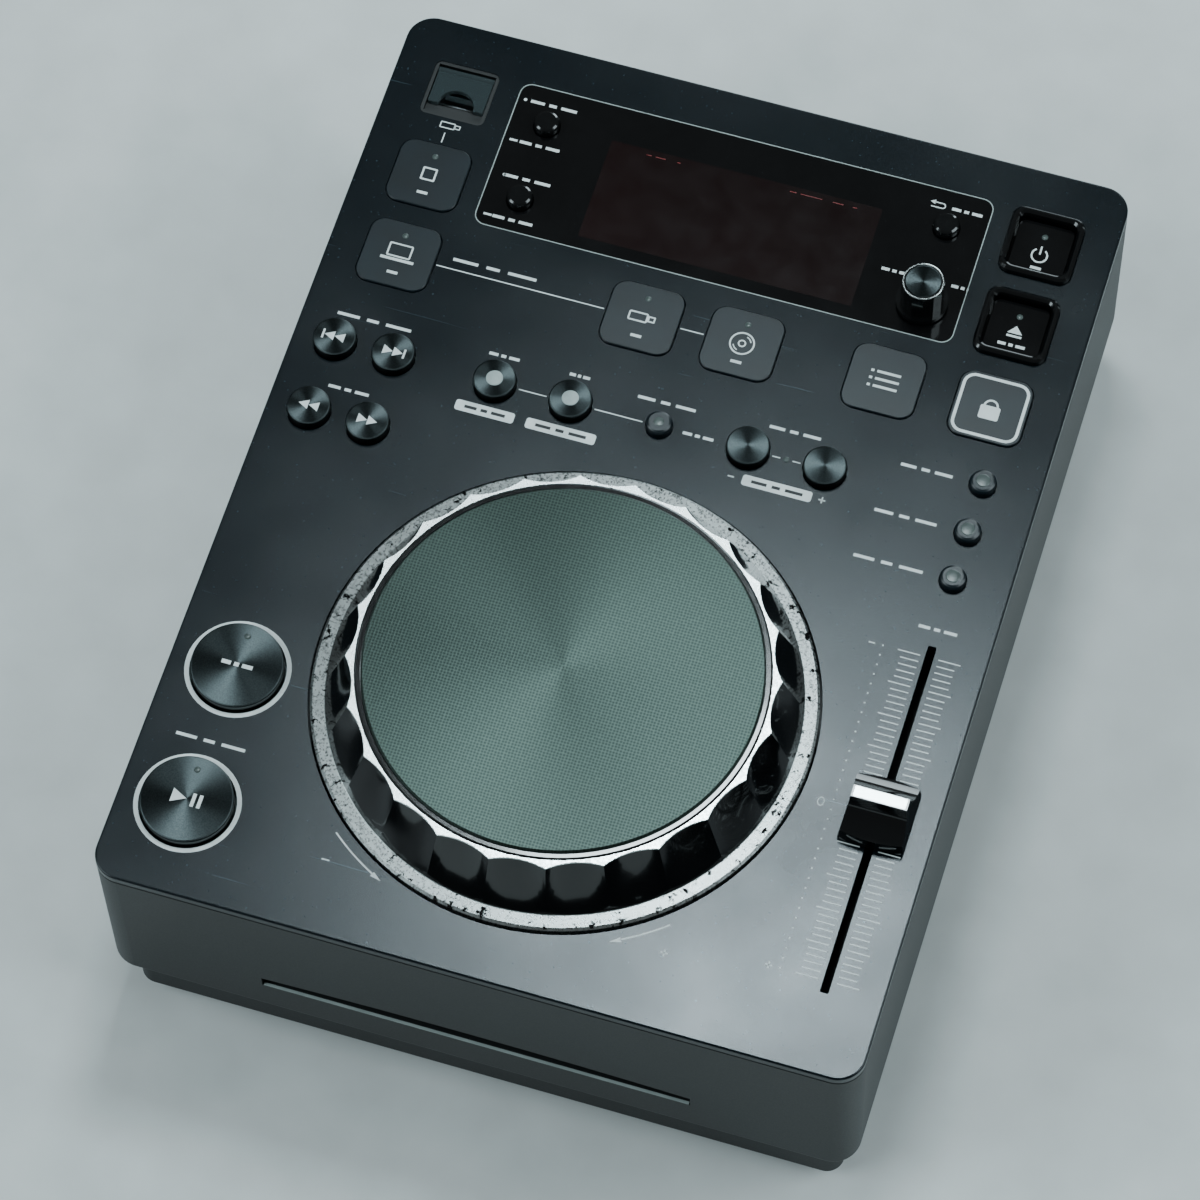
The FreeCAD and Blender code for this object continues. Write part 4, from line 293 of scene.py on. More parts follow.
def make_finishes():
    """Every finish of the player, by name."""
    ring_low, ring_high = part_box("jog_ring")
    ring = middle("jog_ring")
    crown_height = -0.35 * MM
    rim_reach = (ring_high[0] - ring_low[0]) / 2 - 4.2 * MM
    return {
        "paint": metallic_paint(),
        "case": moulded_plastic(),
        "key": button_plastic(),
        "gloss": gloss_plastic(),
        "window": smoked_acrylic(),
        "flap": clear_smoke(),
        "spun": spun_metal(),
        "jog": jog_metal(),
        "ring": plated_ring(tuple(ring), crown_height, rim_reach),
        "steel": plain_metal("zinc_plated_steel", "#9fa3a4", 0.38, 1.2),
        "bright": plain_metal("ground_steel", "#c2c5c6", 0.22, 0.6),
        "powder": plain_plastic("powder_coated_steel", ("#0f1112", "#141718"), 0.55, 0.6, 0.04),
        "rubber": plain_plastic("moulded_rubber", ("#121313", "#191a1a"), 0.8, 0.5, 0.05),
        "board": plain_plastic("solder_masked_epoxy", ("#0e3a20", "#154a2a"), 0.45, 0.8, 0.02),
        "ink": plain_plastic("screen_print_white", ("#c9d0cf", "#dde2e1"), 0.55, 0.4, 0.01),
        "dark_ink": plain_plastic("screen_print_black", ("#0d1113", "#12171a"), 0.55, 0.4, 0.01),
        # a pale grey painted as the highlights on the window's edge and on the disc slot's sill
        "highlight_paint": plain_plastic("painted_highlight_grey", ("#8b9694", "#9ba5a3"), 0.5, 0.4, 0.01),
        "lamp": plain_plastic("diffuse_lens_grey", ("#3a4341", "#48524f"), 0.3, 0.3, 0.01),
        "pale_lens": plain_plastic("frosted_lens_pale", ("#8c9896", "#a2adab"), 0.4, 0.3, 0.02),
        "silver": plain_metal("vacuum_plated_abs", "#c9cfce", 0.22, 1.5),
        "glow": plain_plastic("display_filter_red", ("#160707", "#100606"), 0.16, 8.0, 0.0),
        "segment": plain_plastic("phosphor_red", ("#7a1212", "#5c0d0d"), 0.4, 0.6, 0.0),
        "white_plastic": plain_plastic("moulded_abs_white", ("#c8cbc9", "#d8dad8"), 0.4, 0.5, 0.02),
        "red_plastic": plain_plastic("moulded_abs_red", ("#8e1414", "#a01b1b"), 0.4, 0.5, 0.02),
    }


NODE_FINISH = {
    "paint": ("top_panel",),
    "case": ("case_shell", "slot_bezel", "fader_body", "usb_well", "jog_mount", "mains_inlet",
             "display_module", "clamp_arm", "turntable", "pickup_sled", "fader_carriage"),
    "key": ("usb_stop", "source_pc", "source_usb", "source_disc", "playlist", "bpm_lock", "reloop",
            "vinyl_mode", "tempo_range", "master_tempo"),
    "gloss": ("guard_frames", "select_knob", "fader_cap", "jog_dial", "time_mode", "display_mode",
              "back_button"),
    "window": ("display_window", "power_button", "disc_eject"),
    "flap": ("usb_cover",),
    "spun": ("cue_button", "play_button", "track_back", "track_next", "search_back", "search_forward",
             "loop_in", "loop_out", "beat_minus", "beat_plus"),
    "jog": ("jog_plate",),
    "ring": ("jog_ring",),
    "steel": ("usb_socket", "drive_chassis", "traverse_frame", "spindle_motor", "rear_jacks",
              "case_screws"),
    "bright": ("select_plunger", "jog_shaft", "feed_screw"),
    "powder": ("base_chassis",),
    "rubber": ("rubber_feet", "loading_roller"),
    "board": ("control_board", "main_board", "power_supply"),
}
FINISH = make_finishes()


# flat marks and small solids


class Marks:
    """Thin plates of ink or small lenses on a surface, in millimetres from a point, as one piece."""

    def __init__(self, origin, thickness):
        self.origin = Vector(origin)
        self.thickness = thickness
        self.mesh = bmesh.new()

    def plate(self, points):
        """A plate with the outline of the points, counter-clockwise."""
        low = [self.mesh.verts.new((x, y, -ROOT)) for x, y in points]
        high = [self.mesh.verts.new((x, y, self.thickness)) for x, y in points]
        self.mesh.faces.new(high)
        self.mesh.faces.new(low[::-1])
        count = len(points)
        for index in range(count):
            after = (index + 1) % count
            self.mesh.faces.new((low[index], low[after], high[after], high[index]))

    def bar(self, x, y, width, depth, turn=0.0):
        """A straight bar centred on x and y."""
        c, s = math.cos(turn), math.sin(turn)
        corners = ((-1, -1), (1, -1), (1, 1), (-1, 1))
        self.plate([(x + width / 2 * i * c - depth / 2 * j * s, y + width / 2 * i * s + depth / 2 * j * c)
                    for i, j in corners])

    def line(self, x1, y1, x2, y2, width):
        """A line from one point to another."""
        length = math.hypot(x2 - x1, y2 - y1)
        self.bar((x1 + x2) / 2, (y1 + y2) / 2, length, width, math.atan2(y2 - y1, x2 - x1))

    def ring(self, x, y, radius, width, first=0.0, last=360.0, squash=1.0):
        """A ring or an arc, by its outer radius and the width of its line."""
        whole = last - first >= 360.0
        steps = ROUND_STEPS
        count = steps if whole else steps + 1
        angles = [math.radians(first + (last - first) * i / steps) for i in range(count)]
        loops = []
        for level in (-ROOT, self.thickness):
            for reach in (radius - width, radius):
                loops.append([self.mesh.verts.new((x + reach * math.cos(a) * squash,
                                                   y + reach * math.sin(a), level)) for a in angles])
        low_in, low_out, high_in, high_out = loops
        for i in range(steps):
            j = (i + 1) % count
            self.mesh.faces.new((high_in[i], high_out[i], high_out[j], high_in[j]))
            self.mesh.faces.new((low_in[j], low_out[j], low_out[i], low_in[i]))
            self.mesh.faces.new((low_out[i], low_out[j], high_out[j], high_out[i]))
            self.mesh.faces.new((low_in[j], low_in[i], high_in[i], high_in[j]))
        if not whole:
            self.mesh.faces.new((low_in[0], low_out[0], high_out[0], high_in[0]))
            self.mesh.faces.new((low_out[-1], low_in[-1], high_in[-1], high_out[-1]))

    def disc(self, x, y, radius):
        """A round dot."""
        self.plate([(x + radius * c, y + radius * s) for c, s in circle(DOT_STEPS)])

    def dome(self, x, y, radius, rise):
        """A small domed lens."""
        loops = []
        for share in (0.0, 0.35, 0.65, 0.88):
            angle = share * math.pi / 2
            reach = radius * math.cos(angle)
            level = rise * math.sin(angle) - 2 * ROOT
            loops.append([self.mesh.verts.new((x + reach * c, y + reach * s, level))
                          for c, s in circle(DOT_STEPS)])
        for low, high in zip(loops, loops[1:]):
            for i in range(DOT_STEPS):
                j = (i + 1) % DOT_STEPS
                self.mesh.faces.new((low[i], low[j], high[j], high[i]))
        self.mesh.faces.new(loops[-1])
        self.mesh.faces.new(loops[0][::-1])

    def rounded(self, x, y, width, depth, corner):
        """A filled box with rounded corners."""
        self.plate(rounded_points(x, y, width, depth, corner))

    def border(self, x, y, width, depth, corner, line):
        """The outline of a box with rounded corners."""
        outer = rounded_points(x, y, width, depth, corner)
        inner = rounded_points(x, y, width - 2 * line, depth - 2 * line, max(corner - line, 0.1))
        count = len(outer)
        rows = [[self.mesh.verts.new((px, py, level)) for px, py in loop]
                for level in (-ROOT, self.thickness) for loop in (inner, outer)]
        low_in, low_out, high_in, high_out = rows
        for i in range(count):
            j = (i + 1) % count
            self.mesh.faces.new((high_in[i], high_out[i], high_out[j], high_in[j]))
            self.mesh.faces.new((low_in[j], low_out[j], low_out[i], low_in[i]))
            self.mesh.faces.new((low_out[i], low_out[j], high_out[j], high_out[i]))
            self.mesh.faces.new((low_in[j], low_in[i], high_in[i], high_in[j]))

    def triangle(self, x, y, length, height, turn=0.0):
        """A solid triangle that points along the turn."""
        c, s = math.cos(turn), math.sin(turn)
        points = ((-length / 2, -height / 2), (length / 2, 0.0), (-length / 2, height / 2))
        self.plate([(x + px * c - py * s, y + px * s + py * c) for px, py in points])

    def caption(self, x, y, width, depth=0.95):
        """Short plain dashes where a control has its caption."""
        shares = (0.30, 0.16, 0.34)
        gap = 0.1 * width
        left = x - width / 2
        for share in shares:
            self.bar(left + share * width / 2, y, share * width, depth)
            left += share * width + gap

    def make(self, name, finish, body):
        """Turn the gathered marks into one piece on a body."""
        bmesh.ops.scale(self.mesh, vec=(MM, MM, MM), verts=self.mesh.verts)
        bmesh.ops.translate(self.mesh, vec=self.origin, verts=self.mesh.verts)
        return finished(name, self.mesh, finish, body)


def rounded_points(x, y, width, depth, corner, steps=6):
    """The outline of a box with rounded corners, counter-clockwise."""
    points = []
    for i, j, start_angle in ((1, 1, 0), (-1, 1, 90), (-1, -1, 180), (1, -1, 270)):
        for step in range(steps + 1):
            angle = math.radians(start_angle + 90 * step / steps)
            points.append((x + i * (width / 2 - corner) + corner * math.cos(angle),
                           y + j * (depth / 2 - corner) + corner * math.sin(angle)))
    return points


def finished(name, mesh, finish, body):
    """Make a bmesh an object with its finish, riding on a body."""
    data = bpy.data.meshes.new(name)
    mesh.to_mesh(data)
    mesh.free()
    piece = bpy.data.objects.new(name, data)
    bpy.context.scene.collection.objects.link(piece)
    data.materials.append(FINISH[finish])
    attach(piece, body)
    return piece


def turned(name, origin, profile, finish, body, turn=None):
    """A turned piece from radius and height points, from the axis outwards and back, in millimetres."""
    mesh = bmesh.new()
    rings = []
    for radius, height in profile:
        if radius == 0.0:
            rings.append([mesh.verts.new((0, 0, height))])
        else:
            rings.append([mesh.verts.new((radius * c, radius * s, height)) for c, s in circle(TURNED_STEPS)])
    closed = len(rings[0]) > 1
    pairs = list(zip(rings, rings[1:])) + ([(rings[-1], rings[0])] if closed else [])
    for low, high in pairs:
        for i in range(TURNED_STEPS):
            j = (i + 1) % TURNED_STEPS
            face = (low[i % len(low)], low[j % len(low)], high[j % len(high)], high[i % len(high)])
            corners = list(dict.fromkeys(face))
            if len(corners) > 2:
                mesh.faces.new(corners)
    bmesh.ops.recalc_face_normals(mesh, faces=mesh.faces)
    bmesh.ops.scale(mesh, vec=(MM, MM, MM), verts=mesh.verts)
    if turn:
        bmesh.ops.rotate(mesh, matrix=turn, verts=mesh.verts)
    bmesh.ops.translate(mesh, vec=origin, verts=mesh.verts)
    return finished(name, mesh, finish, body)


def bar_row_tree():
    """Geometry nodes for a row of equal plates: count, step and the size of each."""
    tree = bpy.data.node_groups.new("plate_row", "GeometryNodeTree")
    inputs = (("Count", "NodeSocketInt"), ("Start", "NodeSocketVector"), ("Step", "NodeSocketVector"),
              ("Size", "NodeSocketVector"), ("Finish", "NodeSocketMaterial"))
    for name, kind in inputs:
        tree.interface.new_socket(name, in_out="INPUT", socket_type=kind)
    tree.interface.new_socket("Geometry", in_out="OUTPUT", socket_type="NodeSocketGeometry")
    given = add(tree, "NodeGroupInput").outputs
    row = add(tree, "GeometryNodeMeshLine",
              links={"Count": given["Count"], "Start Location": given["Start"], "Offset": given["Step"]})
    plate = add(tree, "GeometryNodeMeshCube", links={"Size": given["Size"]})
    copies = add(tree, "GeometryNodeInstanceOnPoints", links={"Points": row.outputs["Mesh"],
                                                              "Instance": plate.outputs["Mesh"]})
    real = add(tree, "GeometryNodeRealizeInstances", links={"Geometry": copies.outputs["Instances"]})
    coat = add(tree, "GeometryNodeSetMaterial", links={"Geometry": real.outputs["Geometry"],
                                                       "Material": given["Finish"]})
    add(tree, "NodeGroupOutput", links={"Geometry": coat.outputs["Geometry"]})
    return tree


def plate_rows(name, rows, finish, body):
    """One piece from several rows of plates, each given by count, start, step and size in millimetres."""
    tree = bpy.data.node_groups.get("plate_row") or bar_row_tree()
    sockets = {item.name: item.identifier for item in tree.interface.items_tree if item.in_out == "INPUT"}
    joined = bmesh.new()
    for count, first, step, size in rows:
        holder = bpy.data.objects.new("row_holder", bpy.data.meshes.new("row_holder"))
        bpy.context.scene.collection.objects.link(holder)
        modifier = holder.modifiers.new("row", "NODES")
        modifier.node_group = tree
        modifier[sockets["Count"]] = count
        modifier[sockets["Start"]] = first * MM
        modifier[sockets["Step"]] = step * MM
        modifier[sockets["Size"]] = size * MM
        modifier[sockets["Finish"]] = FINISH[finish]
        graph = bpy.context.evaluated_depsgraph_get()
        result = bpy.data.meshes.new_from_object(holder.evaluated_get(graph))
        joined.from_mesh(result)
        bpy.data.objects.remove(holder)
        bpy.data.meshes.remove(result)
    return finished(name, joined, finish, body)


# sizes that a user may change


class DeckSettings(bpy.types.PropertyGroup):
    ink_thickness: bpy.props.FloatProperty(name="Ink thickness", default=0.04, min=0.01, max=0.2,
                                           description="Height of a printed mark, in mm")
    ring_width: bpy.props.FloatProperty(name="Ring width", default=1.3, min=0.3, max=3.0,
                                        description="Width of the printed rings, in mm")
    line_width: bpy.props.FloatProperty(name="Line width", default=0.35, min=0.1, max=1.0,
                                        description="Width of the connecting lines, in mm")


class FaderSettings(bpy.types.PropertyGroup):
    tick_pitch: bpy.props.FloatProperty(name="Tick pitch", default=2.02, min=1.0, max=5.0,
                                        description="Distance between ticks, in mm")
    tick_width: bpy.props.FloatProperty(name="Tick width", default=0.32, min=0.1, max=1.0,
                                        description="Width of a tick's line, in mm")
    dots: bpy.props.IntProperty(name="Dots", default=34, min=2, max=80,
                                description="Number of dots beside the ticks")


class LampSettings(bpy.types.PropertyGroup):
    dot_radius: bpy.props.FloatProperty(name="Lamp radius", default=0.95, min=0.3, max=3.0,
                                        description="Radius of a small lamp, in mm")
    lens_radius: bpy.props.FloatProperty(name="Lens radius", default=2.5, min=1.0, max=5.0,
                                         description="Radius of a loop key's lens, in mm")


class StageSettings(bpy.types.PropertyGroup):
    floor_size: bpy.props.FloatProperty(name="Floor size", default=6.0, min=1.0, max=20.0,
                                        unit="LENGTH", description="Width of the floor")
    key_power: bpy.props.FloatProperty(name="Key power", default=7.0, min=0.0, max=500.0,
                                       description="Power of the main softbox, in watts")
    fill_power: bpy.props.FloatProperty(name="Fill power", default=36.0, min=0.0, max=500.0,
                                        description="Power of the fill softboxes, in watts")


# the deck as a plan, in millimetres from its middle


DECK = middle("top_panel")
WINDOW = middle("display_window")
SIGN_LINE = 0.4  # the line width of a plus or a minus, in mm


def on_deck(node):
    """Where a control is on the deck, in millimetres."""
    spot = middle(node)
    return (spot.x - DECK.x) / MM, (spot.y - DECK.y) / MM


def link(marks, left, right, left_gap, right_gap, width):
    """A line between two controls of one row."""
    x1, y1 = on_deck(left)
    x2, _ = on_deck(right)
    marks.line(x1 + left_gap, y1, x2 - right_gap, y1, width)


def plus(marks, x, y):
    """A small plus sign."""
    size = 2.0
    marks.bar(x, y, size, SIGN_LINE)
    marks.bar(x, y, SIGN_LINE, size)


def dress_nodes():
    """Give every solid its finish."""
    for finish, nodes in NODE_FINISH.items():
        for node in nodes:
            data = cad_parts[node].data
            data.materials.clear()
            data.materials.append(FINISH[finish])


def beat_middle():
    """Half-way between the two beat keys, in millimetres."""
    left, y = on_deck("beat_minus")
    return (left + on_deck("beat_plus")[0]) / 2, y


def print_links(marks, width):
    """The lines that join the loop keys, the source keys and the beat keys with their lamp."""
    round_gap = 7.1
    small_gap = 4.9
    square_gap = 11.4
    lamp_gap = 1.8
    link(marks, "loop_in", "loop_out", round_gap, round_gap, width)
    link(marks, "loop_out", "reloop", round_gap, small_gap, width)
    link(marks, "source_pc", "source_usb", square_gap, square_gap, width)
    link(marks, "source_usb", "source_disc", square_gap, square_gap, width)
    lamp_x, y = beat_middle()
    marks.line(on_deck("beat_minus")[0] + round_gap, y, lamp_x - lamp_gap, y, width)
    marks.line(lamp_x + lamp_gap, y, on_deck("beat_plus")[0] - round_gap, y, width)


def print_boxes(marks, thickness):
    """The white boxes in front of the loop keys, with dark dashes, and the signs beside the last one."""
    lamp_x, loop_y = beat_middle()
    y = loop_y - 9.55
    depth = 3.4
    corner = 0.8
    words = Marks(DECK, thickness + 0.02)
    boxes = ((on_deck("loop_in")[0], 17.4, 12.0), (on_deck("loop_out")[0], 20.6, 15.0), (lamp_x, 20.3, 15.0))
    for x, width, dashes in boxes:
        marks.rounded(x, y, width, depth, corner)
        words.caption(x, y, dashes)
    words.make("deck_box_print", "dark_ink", "case")
    marks.bar(on_deck("beat_minus")[0] - 2.2, y, 1.8, SIGN_LINE)
    plus(marks, on_deck("beat_plus")[0] + 1.9, y)


def print_captions(marks):
    """Plain dashes where the controls have their captions, each by its middle and width."""
    lamp_x, loop_y = beat_middle()
    track_x = (on_deck("track_back")[0] + on_deck("track_next")[0]) / 2
    cue_y = on_deck("cue_button")[1]
    play_x, play_y = on_deck("play_button")
    captions = (
        (track_x, loop_y + 9.2, 22.0), (track_x, on_deck("search_back")[1] + 9.1, 12.0),
        (-60.0, 67.3, 25.0), (11.5, loop_y, 9.0), (lamp_x, loop_y + 9.0, 15.0),
        (on_deck("loop_in")[0], loop_y + 9.0, 9.0), (on_deck("loop_out")[0], loop_y + 9.0, 6.0),
        (on_deck("reloop")[0], loop_y + 7.6, 17.0), (76.2, on_deck("vinyl_mode")[1], 15.0),
        (74.5, on_deck("tempo_range")[1], 18.0), (73.8, on_deck("master_tempo")[1], 20.0),
        (on_deck("fader_cap")[0], -7.6, 11.0), (play_x, (cue_y + play_y) / 2 - 1.9, 20.0),
    )
    for x, y, width in captions:
        marks.caption(x, y, width)


def print_stick_sign(marks, width):
    """The small stick in front of the memory stick recess, and the line from it to the stop key."""
    x, y = on_deck("usb_well")
    sign_y = y - 11.6
    marks.border(x, sign_y, 4.6, 2.2, 0.4, 0.35)
    marks.border(x + 3.0, sign_y, 1.7, 1.4, 0.2, 0.3)
    marks.line(x, sign_y - 2.6, x, sign_y - 6.0, width)


def print_turning_arrows(marks):
    """The two curved arrows in front of the jog wheel, with a minus and a plus."""
    jog_x, jog_y = on_deck("jog_ring")
    reach = 74.2
    head = reach - 0.2
    for first, last, tip in ((230.0, 242.5, 243.6), (299.0, 310.0, 297.9)):
        marks.ring(jog_x, jog_y, reach, 0.45, first, last)
        angle = math.radians(tip)
        heading = angle + math.pi / 2 if tip > last else angle - math.pi / 2
        marks.triangle(jog_x + head * math.cos(angle), jog_y + head * math.sin(angle), 3.2, 1.5, heading)
    marks.bar(jog_x - 47.8, jog_y - 65.2, 2.2, SIGN_LINE)
    plus(marks, jog_x + 48.3, jog_y - 65.0)


def print_deck(settings):
    """The white print on the deck: rings, lines, boxes, caption dashes, the stick sign and the arrows."""
    marks = Marks(DECK, settings.ink_thickness)
    ring_radius = 14.9
    for node in ("cue_button", "play_button"):
        marks.ring(*on_deck(node), ring_radius, settings.ring_width)
    print_links(marks, settings.line_width)
    print_boxes(marks, settings.ink_thickness)
    print_captions(marks)
    print_stick_sign(marks, settings.line_width)
    print_turning_arrows(marks)
    marks.make("deck_print", "ink", "case")


def print_fader_scale(settings):
    """The fader's scale: a long tick every fifth, split by the slot, with dots and signs beside it."""
    cap_x, zero_y = on_deck("fader_cap")
    pitch = settings.tick_pitch
    thick = 0.08
    near = 2.6
    half = 25
    every = 5
    groups = 2 * half // every
    rows = []
    for side, long_end, short_end in ((-1, 9.0, 7.8), (1, 8.9, 7.7)):
        starts = [(groups + 1, -half, every, long_end)]
        starts += [(every - 1, every * group + 1 - half, 1, short_end) for group in range(groups)]
        for count, lowest, step, end in starts:
            length = end - near
            spot = Vector((cap_x + side * (near + length / 2), zero_y + lowest * pitch, 0.0))
            rows.append((count, DECK / MM + spot, Vector((0.0, pitch * step, 0.0)),
                         Vector((length, settings.tick_width, thick))))
    plate_rows("fader_ticks", rows, "ink", "case")
    dots_x = cap_x - 13.3
    dot = 0.45
    step = 2 * half * pitch / (settings.dots - 1)
    first = DECK / MM + Vector((dots_x, zero_y - half * pitch, 0.0))
    dots = (settings.dots, first, Vector((0.0, step, 0.0)), Vector((dot, dot, thick)))
    plate_rows("fader_dots", [dots], "ink", "case")
    marks = Marks(DECK, thick / 2)
    signs_x = dots_x - 3.2
    marks.bar(signs_x, zero_y + half * pitch, 1.8, SIGN_LINE)
    marks.ring(signs_x, zero_y, 1.4, 0.35, squash=0.7)
    plus(marks, signs_x, zero_y - half * pitch)
    marks.make("fader_signs", "ink", "case")


def print_back_arrow(marks, x, y):
    """The arrow that turns back, beside the back key."""
    line = 0.35
    reach = 2.9
    marks.line(x - 6.2, y, x - reach, y, line)
    marks.ring(x - reach - 0.1, y + 0.8, 1.0, line, -90, 90)
    marks.line(x - 5.4, y + 1.6, x - reach, y + 1.6, line)
    marks.triangle(x - 6.0, y + 1.6, 1.5, 1.5, math.pi)


def print_window(settings):
    """The window's print, a pale painted highlight round its edge, and the dark red display with a few faint
    segments.
    """
    top = Vector((DECK.x, DECK.y, WINDOW.z))
    above = 6.9
    below = -7.2
    marks = Marks(top, settings.ink_thickness)
    time_x, time_y = on_deck("time_mode")
    for dot_x, bar_x, y in ((-68.9, -68.1, time_y), (-67.1, -67.7, on_deck("display_mode")[1])):
        marks.disc(dot_x, y + above, 0.5)
        marks.bar(bar_x, y + below, 2.4, 0.7)
        marks.caption(time_x, y + above, 14.0)
        marks.caption(time_x, y + below, 12.0)
    back_x, back_y = on_deck("back_button")
    print_back_arrow(marks, back_x, back_y + 6.0)
    marks.caption(back_x + 4.4, back_y + 6.7, 9.0)
    knob_x, knob_y = on_deck("select_knob")
    marks.caption(knob_x - 10.2, knob_y + 8.0, 8.0)
    marks.caption(knob_x + 10.0, knob_y + 8.0, 7.0)
    marks.make("window_print", "ink", "case")
    # a pale border painted round the window stands in for the highlight on its edge
    low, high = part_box("display_window")
    flange = 1.6
    width, depth = [(high[axis] - low[axis]) / MM - 2 * flange for axis in (0, 1)]
    edge = Marks(WINDOW, 0.1)
    edge.border(0.0, 0.0, width, depth, 3.6, 0.3)
    edge.make("window_edge_highlight", "highlight_paint", "case")
    glass = Marks(WINDOW, 0.02)
    glass.rounded(0.0, -3.7, 81.6, 33.5, 0.6)
    glass.make("display_filter", "glow", "case")
    lit = Marks(WINDOW, 0.035)
    segments = ((-29.0, 1.6), (-25.5, 3.0), (-20.0, 0.9), (14.5, 2.0), (20.0, 6.5), (28.0, 3.2), (33.0, 1.2))
    for x, width in segments:
        lit.bar(x, 11.2, width, 0.28)
    lit.make("display_segments", "segment", "case")


def chevrons(marks, heading, stop):
    """Two triangles that point one way, with a bar at their tip for a skip key."""
    for shift in (-1.5, 1.5):
        marks.triangle(shift, 0.0, 2.9, 3.0, 0.0 if heading > 0 else math.pi)
    if stop:
        marks.bar(heading * 3.35, 0.0, 0.6, 3.0)


def laptop_mark(marks):
    """A plain laptop: screen and base."""
    marks.border(0.0, 1.2, 7.2, 4.6, 0.5, 0.5)
    marks.bar(0.0, -1.9, 10.0, 0.9)


def stick_mark(marks):
    """A plain memory stick."""
    marks.border(-1.2, 0.0, 5.8, 3.2, 0.6, 0.5)
    marks.border(2.8, 0.0, 2.2, 2.0, 0.2, 0.45)


def disc_mark(marks):
    """A plain disc with two glints."""
    marks.ring(0.0, 0.0, 3.7, 0.5)
    marks.ring(0.0, 0.0, 1.2, 0.45)
    marks.ring(0.0, 0.0, 2.7, 0.35, 20.0, 70.0)
    marks.ring(0.0, 0.0, 2.7, 0.35, 200.0, 250.0)


def list_mark(marks):
    """A list of three lines."""
    for y in (2.4, 0.0, -2.4):
        marks.bar(-3.9, y, 0.9, 0.8)
        marks.bar(0.9, y, 7.0, 0.8)


def lock_mark(marks):
    """A padlock in the white border of its key."""
    marks.border(0.0, 0.0, 19.6, 19.6, 3.6, 0.9)
    marks.rounded(0.0, -1.6, 5.8, 4.4, 0.6)
    marks.ring(0.0, 0.5, 2.2, 0.6, 0.0, 180.0)


def stop_mark(marks):
    """The outline of a square."""
    marks.border(0.0, 0.2, 4.4, 4.4, 0.4, 0.55)


def power_mark(marks):
    """The usual power sign: an open ring and a stroke."""
    marks.ring(0.0, -2.3, 2.5, 0.5, 125.0, 415.0)
    marks.bar(0.0, -0.6, 0.5, 2.8)


def eject_mark(marks):
    """The usual eject sign: a triangle over a bar."""
    marks.triangle(0.0, -0.4, 2.6, 4.4, math.pi / 2)
    marks.bar(0.0, -2.6, 4.4, 0.7)


def play_mark(marks):
    """A triangle and two bars."""
    marks.triangle(-2.2, 0.0, 4.2, 4.2)
    marks.bar(1.9, 0.0, 1.0, 4.0)
    marks.bar(3.8, 0.0, 1.0, 4.0)


def mark_keys(settings):
    """The sign on each key, on the key's own body so that it travels with it."""
    signs = {
        "source_pc": laptop_mark, "source_usb": stick_mark, "source_disc": disc_mark, "playlist": list_mark,
        "bpm_lock": lock_mark, "usb_stop": stop_mark, "power_button": power_mark, "disc_eject": eject_mark,
        "play_button": play_mark, "cue_button": lambda marks: marks.caption(0.0, 0.0, 9.0, 1.2),
        "track_back": lambda marks: chevrons(marks, -1, True),
        "track_next": lambda marks: chevrons(marks, 1, True),
        "search_back": lambda marks: chevrons(marks, -1, False),
        "search_forward": lambda marks: chevrons(marks, 1, False),
    }
    dashes = {"source_pc": -6.2, "source_usb": -6.2, "source_disc": -6.2, "usb_stop": -6.2,
              "power_button": -6.6}
    for node, draw in signs.items():
        marks = Marks(middle(node), settings.ink_thickness)
        draw(marks)
        if node in dashes:
            marks.bar(0.0, dashes[node], 3.2, 0.9)
        if node == "disc_eject":
            marks.caption(0.0, -5.6, 8.0)
        marks.make(node + "_sign", "ink", node + "_key")


def fit_lamps(settings):
    """Small domed lamps in the keys and the deck, and the frosted lenses of the loop and mode keys."""
    lamp_places = {"cue_button": 9.0, "play_button": 9.0, "source_pc": 6.3, "source_usb": 6.3,
                   "source_disc": 6.3, "usb_stop": 6.3, "power_button": 4.0, "disc_eject": 4.0}
    for node, y in lamp_places.items():
        lamp = Marks(middle(node), 0.1)
        lamp.dome(0.0, y, settings.dot_radius, 0.3)
        lamp.make(node + "_lamp", "lamp", node + "_key")
    loop_radius = settings.lens_radius
    lenses = {"loop_in": (loop_radius, "pale_lens"), "loop_out": (loop_radius, "pale_lens"),
              "reloop": (1.5, "lamp"), "vinyl_mode": (2.1, "lamp"), "tempo_range": (2.1, "lamp"),
              "master_tempo": (2.1, "lamp")}
    for node, (radius, finish) in lenses.items():
        lens = Marks(middle(node), 0.1)
        lens.dome(0.0, 0.0, radius, 0.25)
        lens.make(node + "_lens", finish, node + "_key")
    lamp = Marks(DECK, 0.1)
    lamp.dome(*beat_middle(), settings.dot_radius, 0.4)
    lamp.make("beat_lamp", "lamp", "case")


def trim_controls():
    """The plated stripe on the fader cap's ridge, and the selector's spun top with its bright edge."""
    stripe = Marks(middle("fader_cap"), 0.08)
    stripe.rounded(0.0, 0.0, 14.6, 3.1, 0.25)
    stripe.make("fader_cap_stripe", "silver", "fader")
    top = middle("select_knob")
    face = ((0.0, -0.05), (5.2, -0.05), (5.2, 0.1), (5.0, 0.16), (0.0, 0.16))
    edge = ((5.55, -0.2), (5.95, -0.2), (5.95, 0.02), (5.8, 0.08), (5.55, 0.08))
    turned("select_knob_face", top, face, "spun", "selector_turn")
    turned("select_knob_edge", top, edge, "silver", "selector_turn")


def paint_sill_highlight():
    """A painted highlight along the edge of the disc slot's sill: a pale plate where the upward-facing ledge
    catches the light.
    """
    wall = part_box("case_shell")[0][1] / MM
    bezel_wall = 4.25
    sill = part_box("slot_bezel")[0][2] / MM + bezel_wall
    # a thin pale plate painted along the sill as the highlight on its upward-facing ledge
    row = (1, Vector((0.0, wall + 0.45, sill + 0.05)), Vector(), Vector((123.4, 0.86, 0.14)))
    plate_rows("slot_sill_highlight", [row], "highlight_paint", "case")


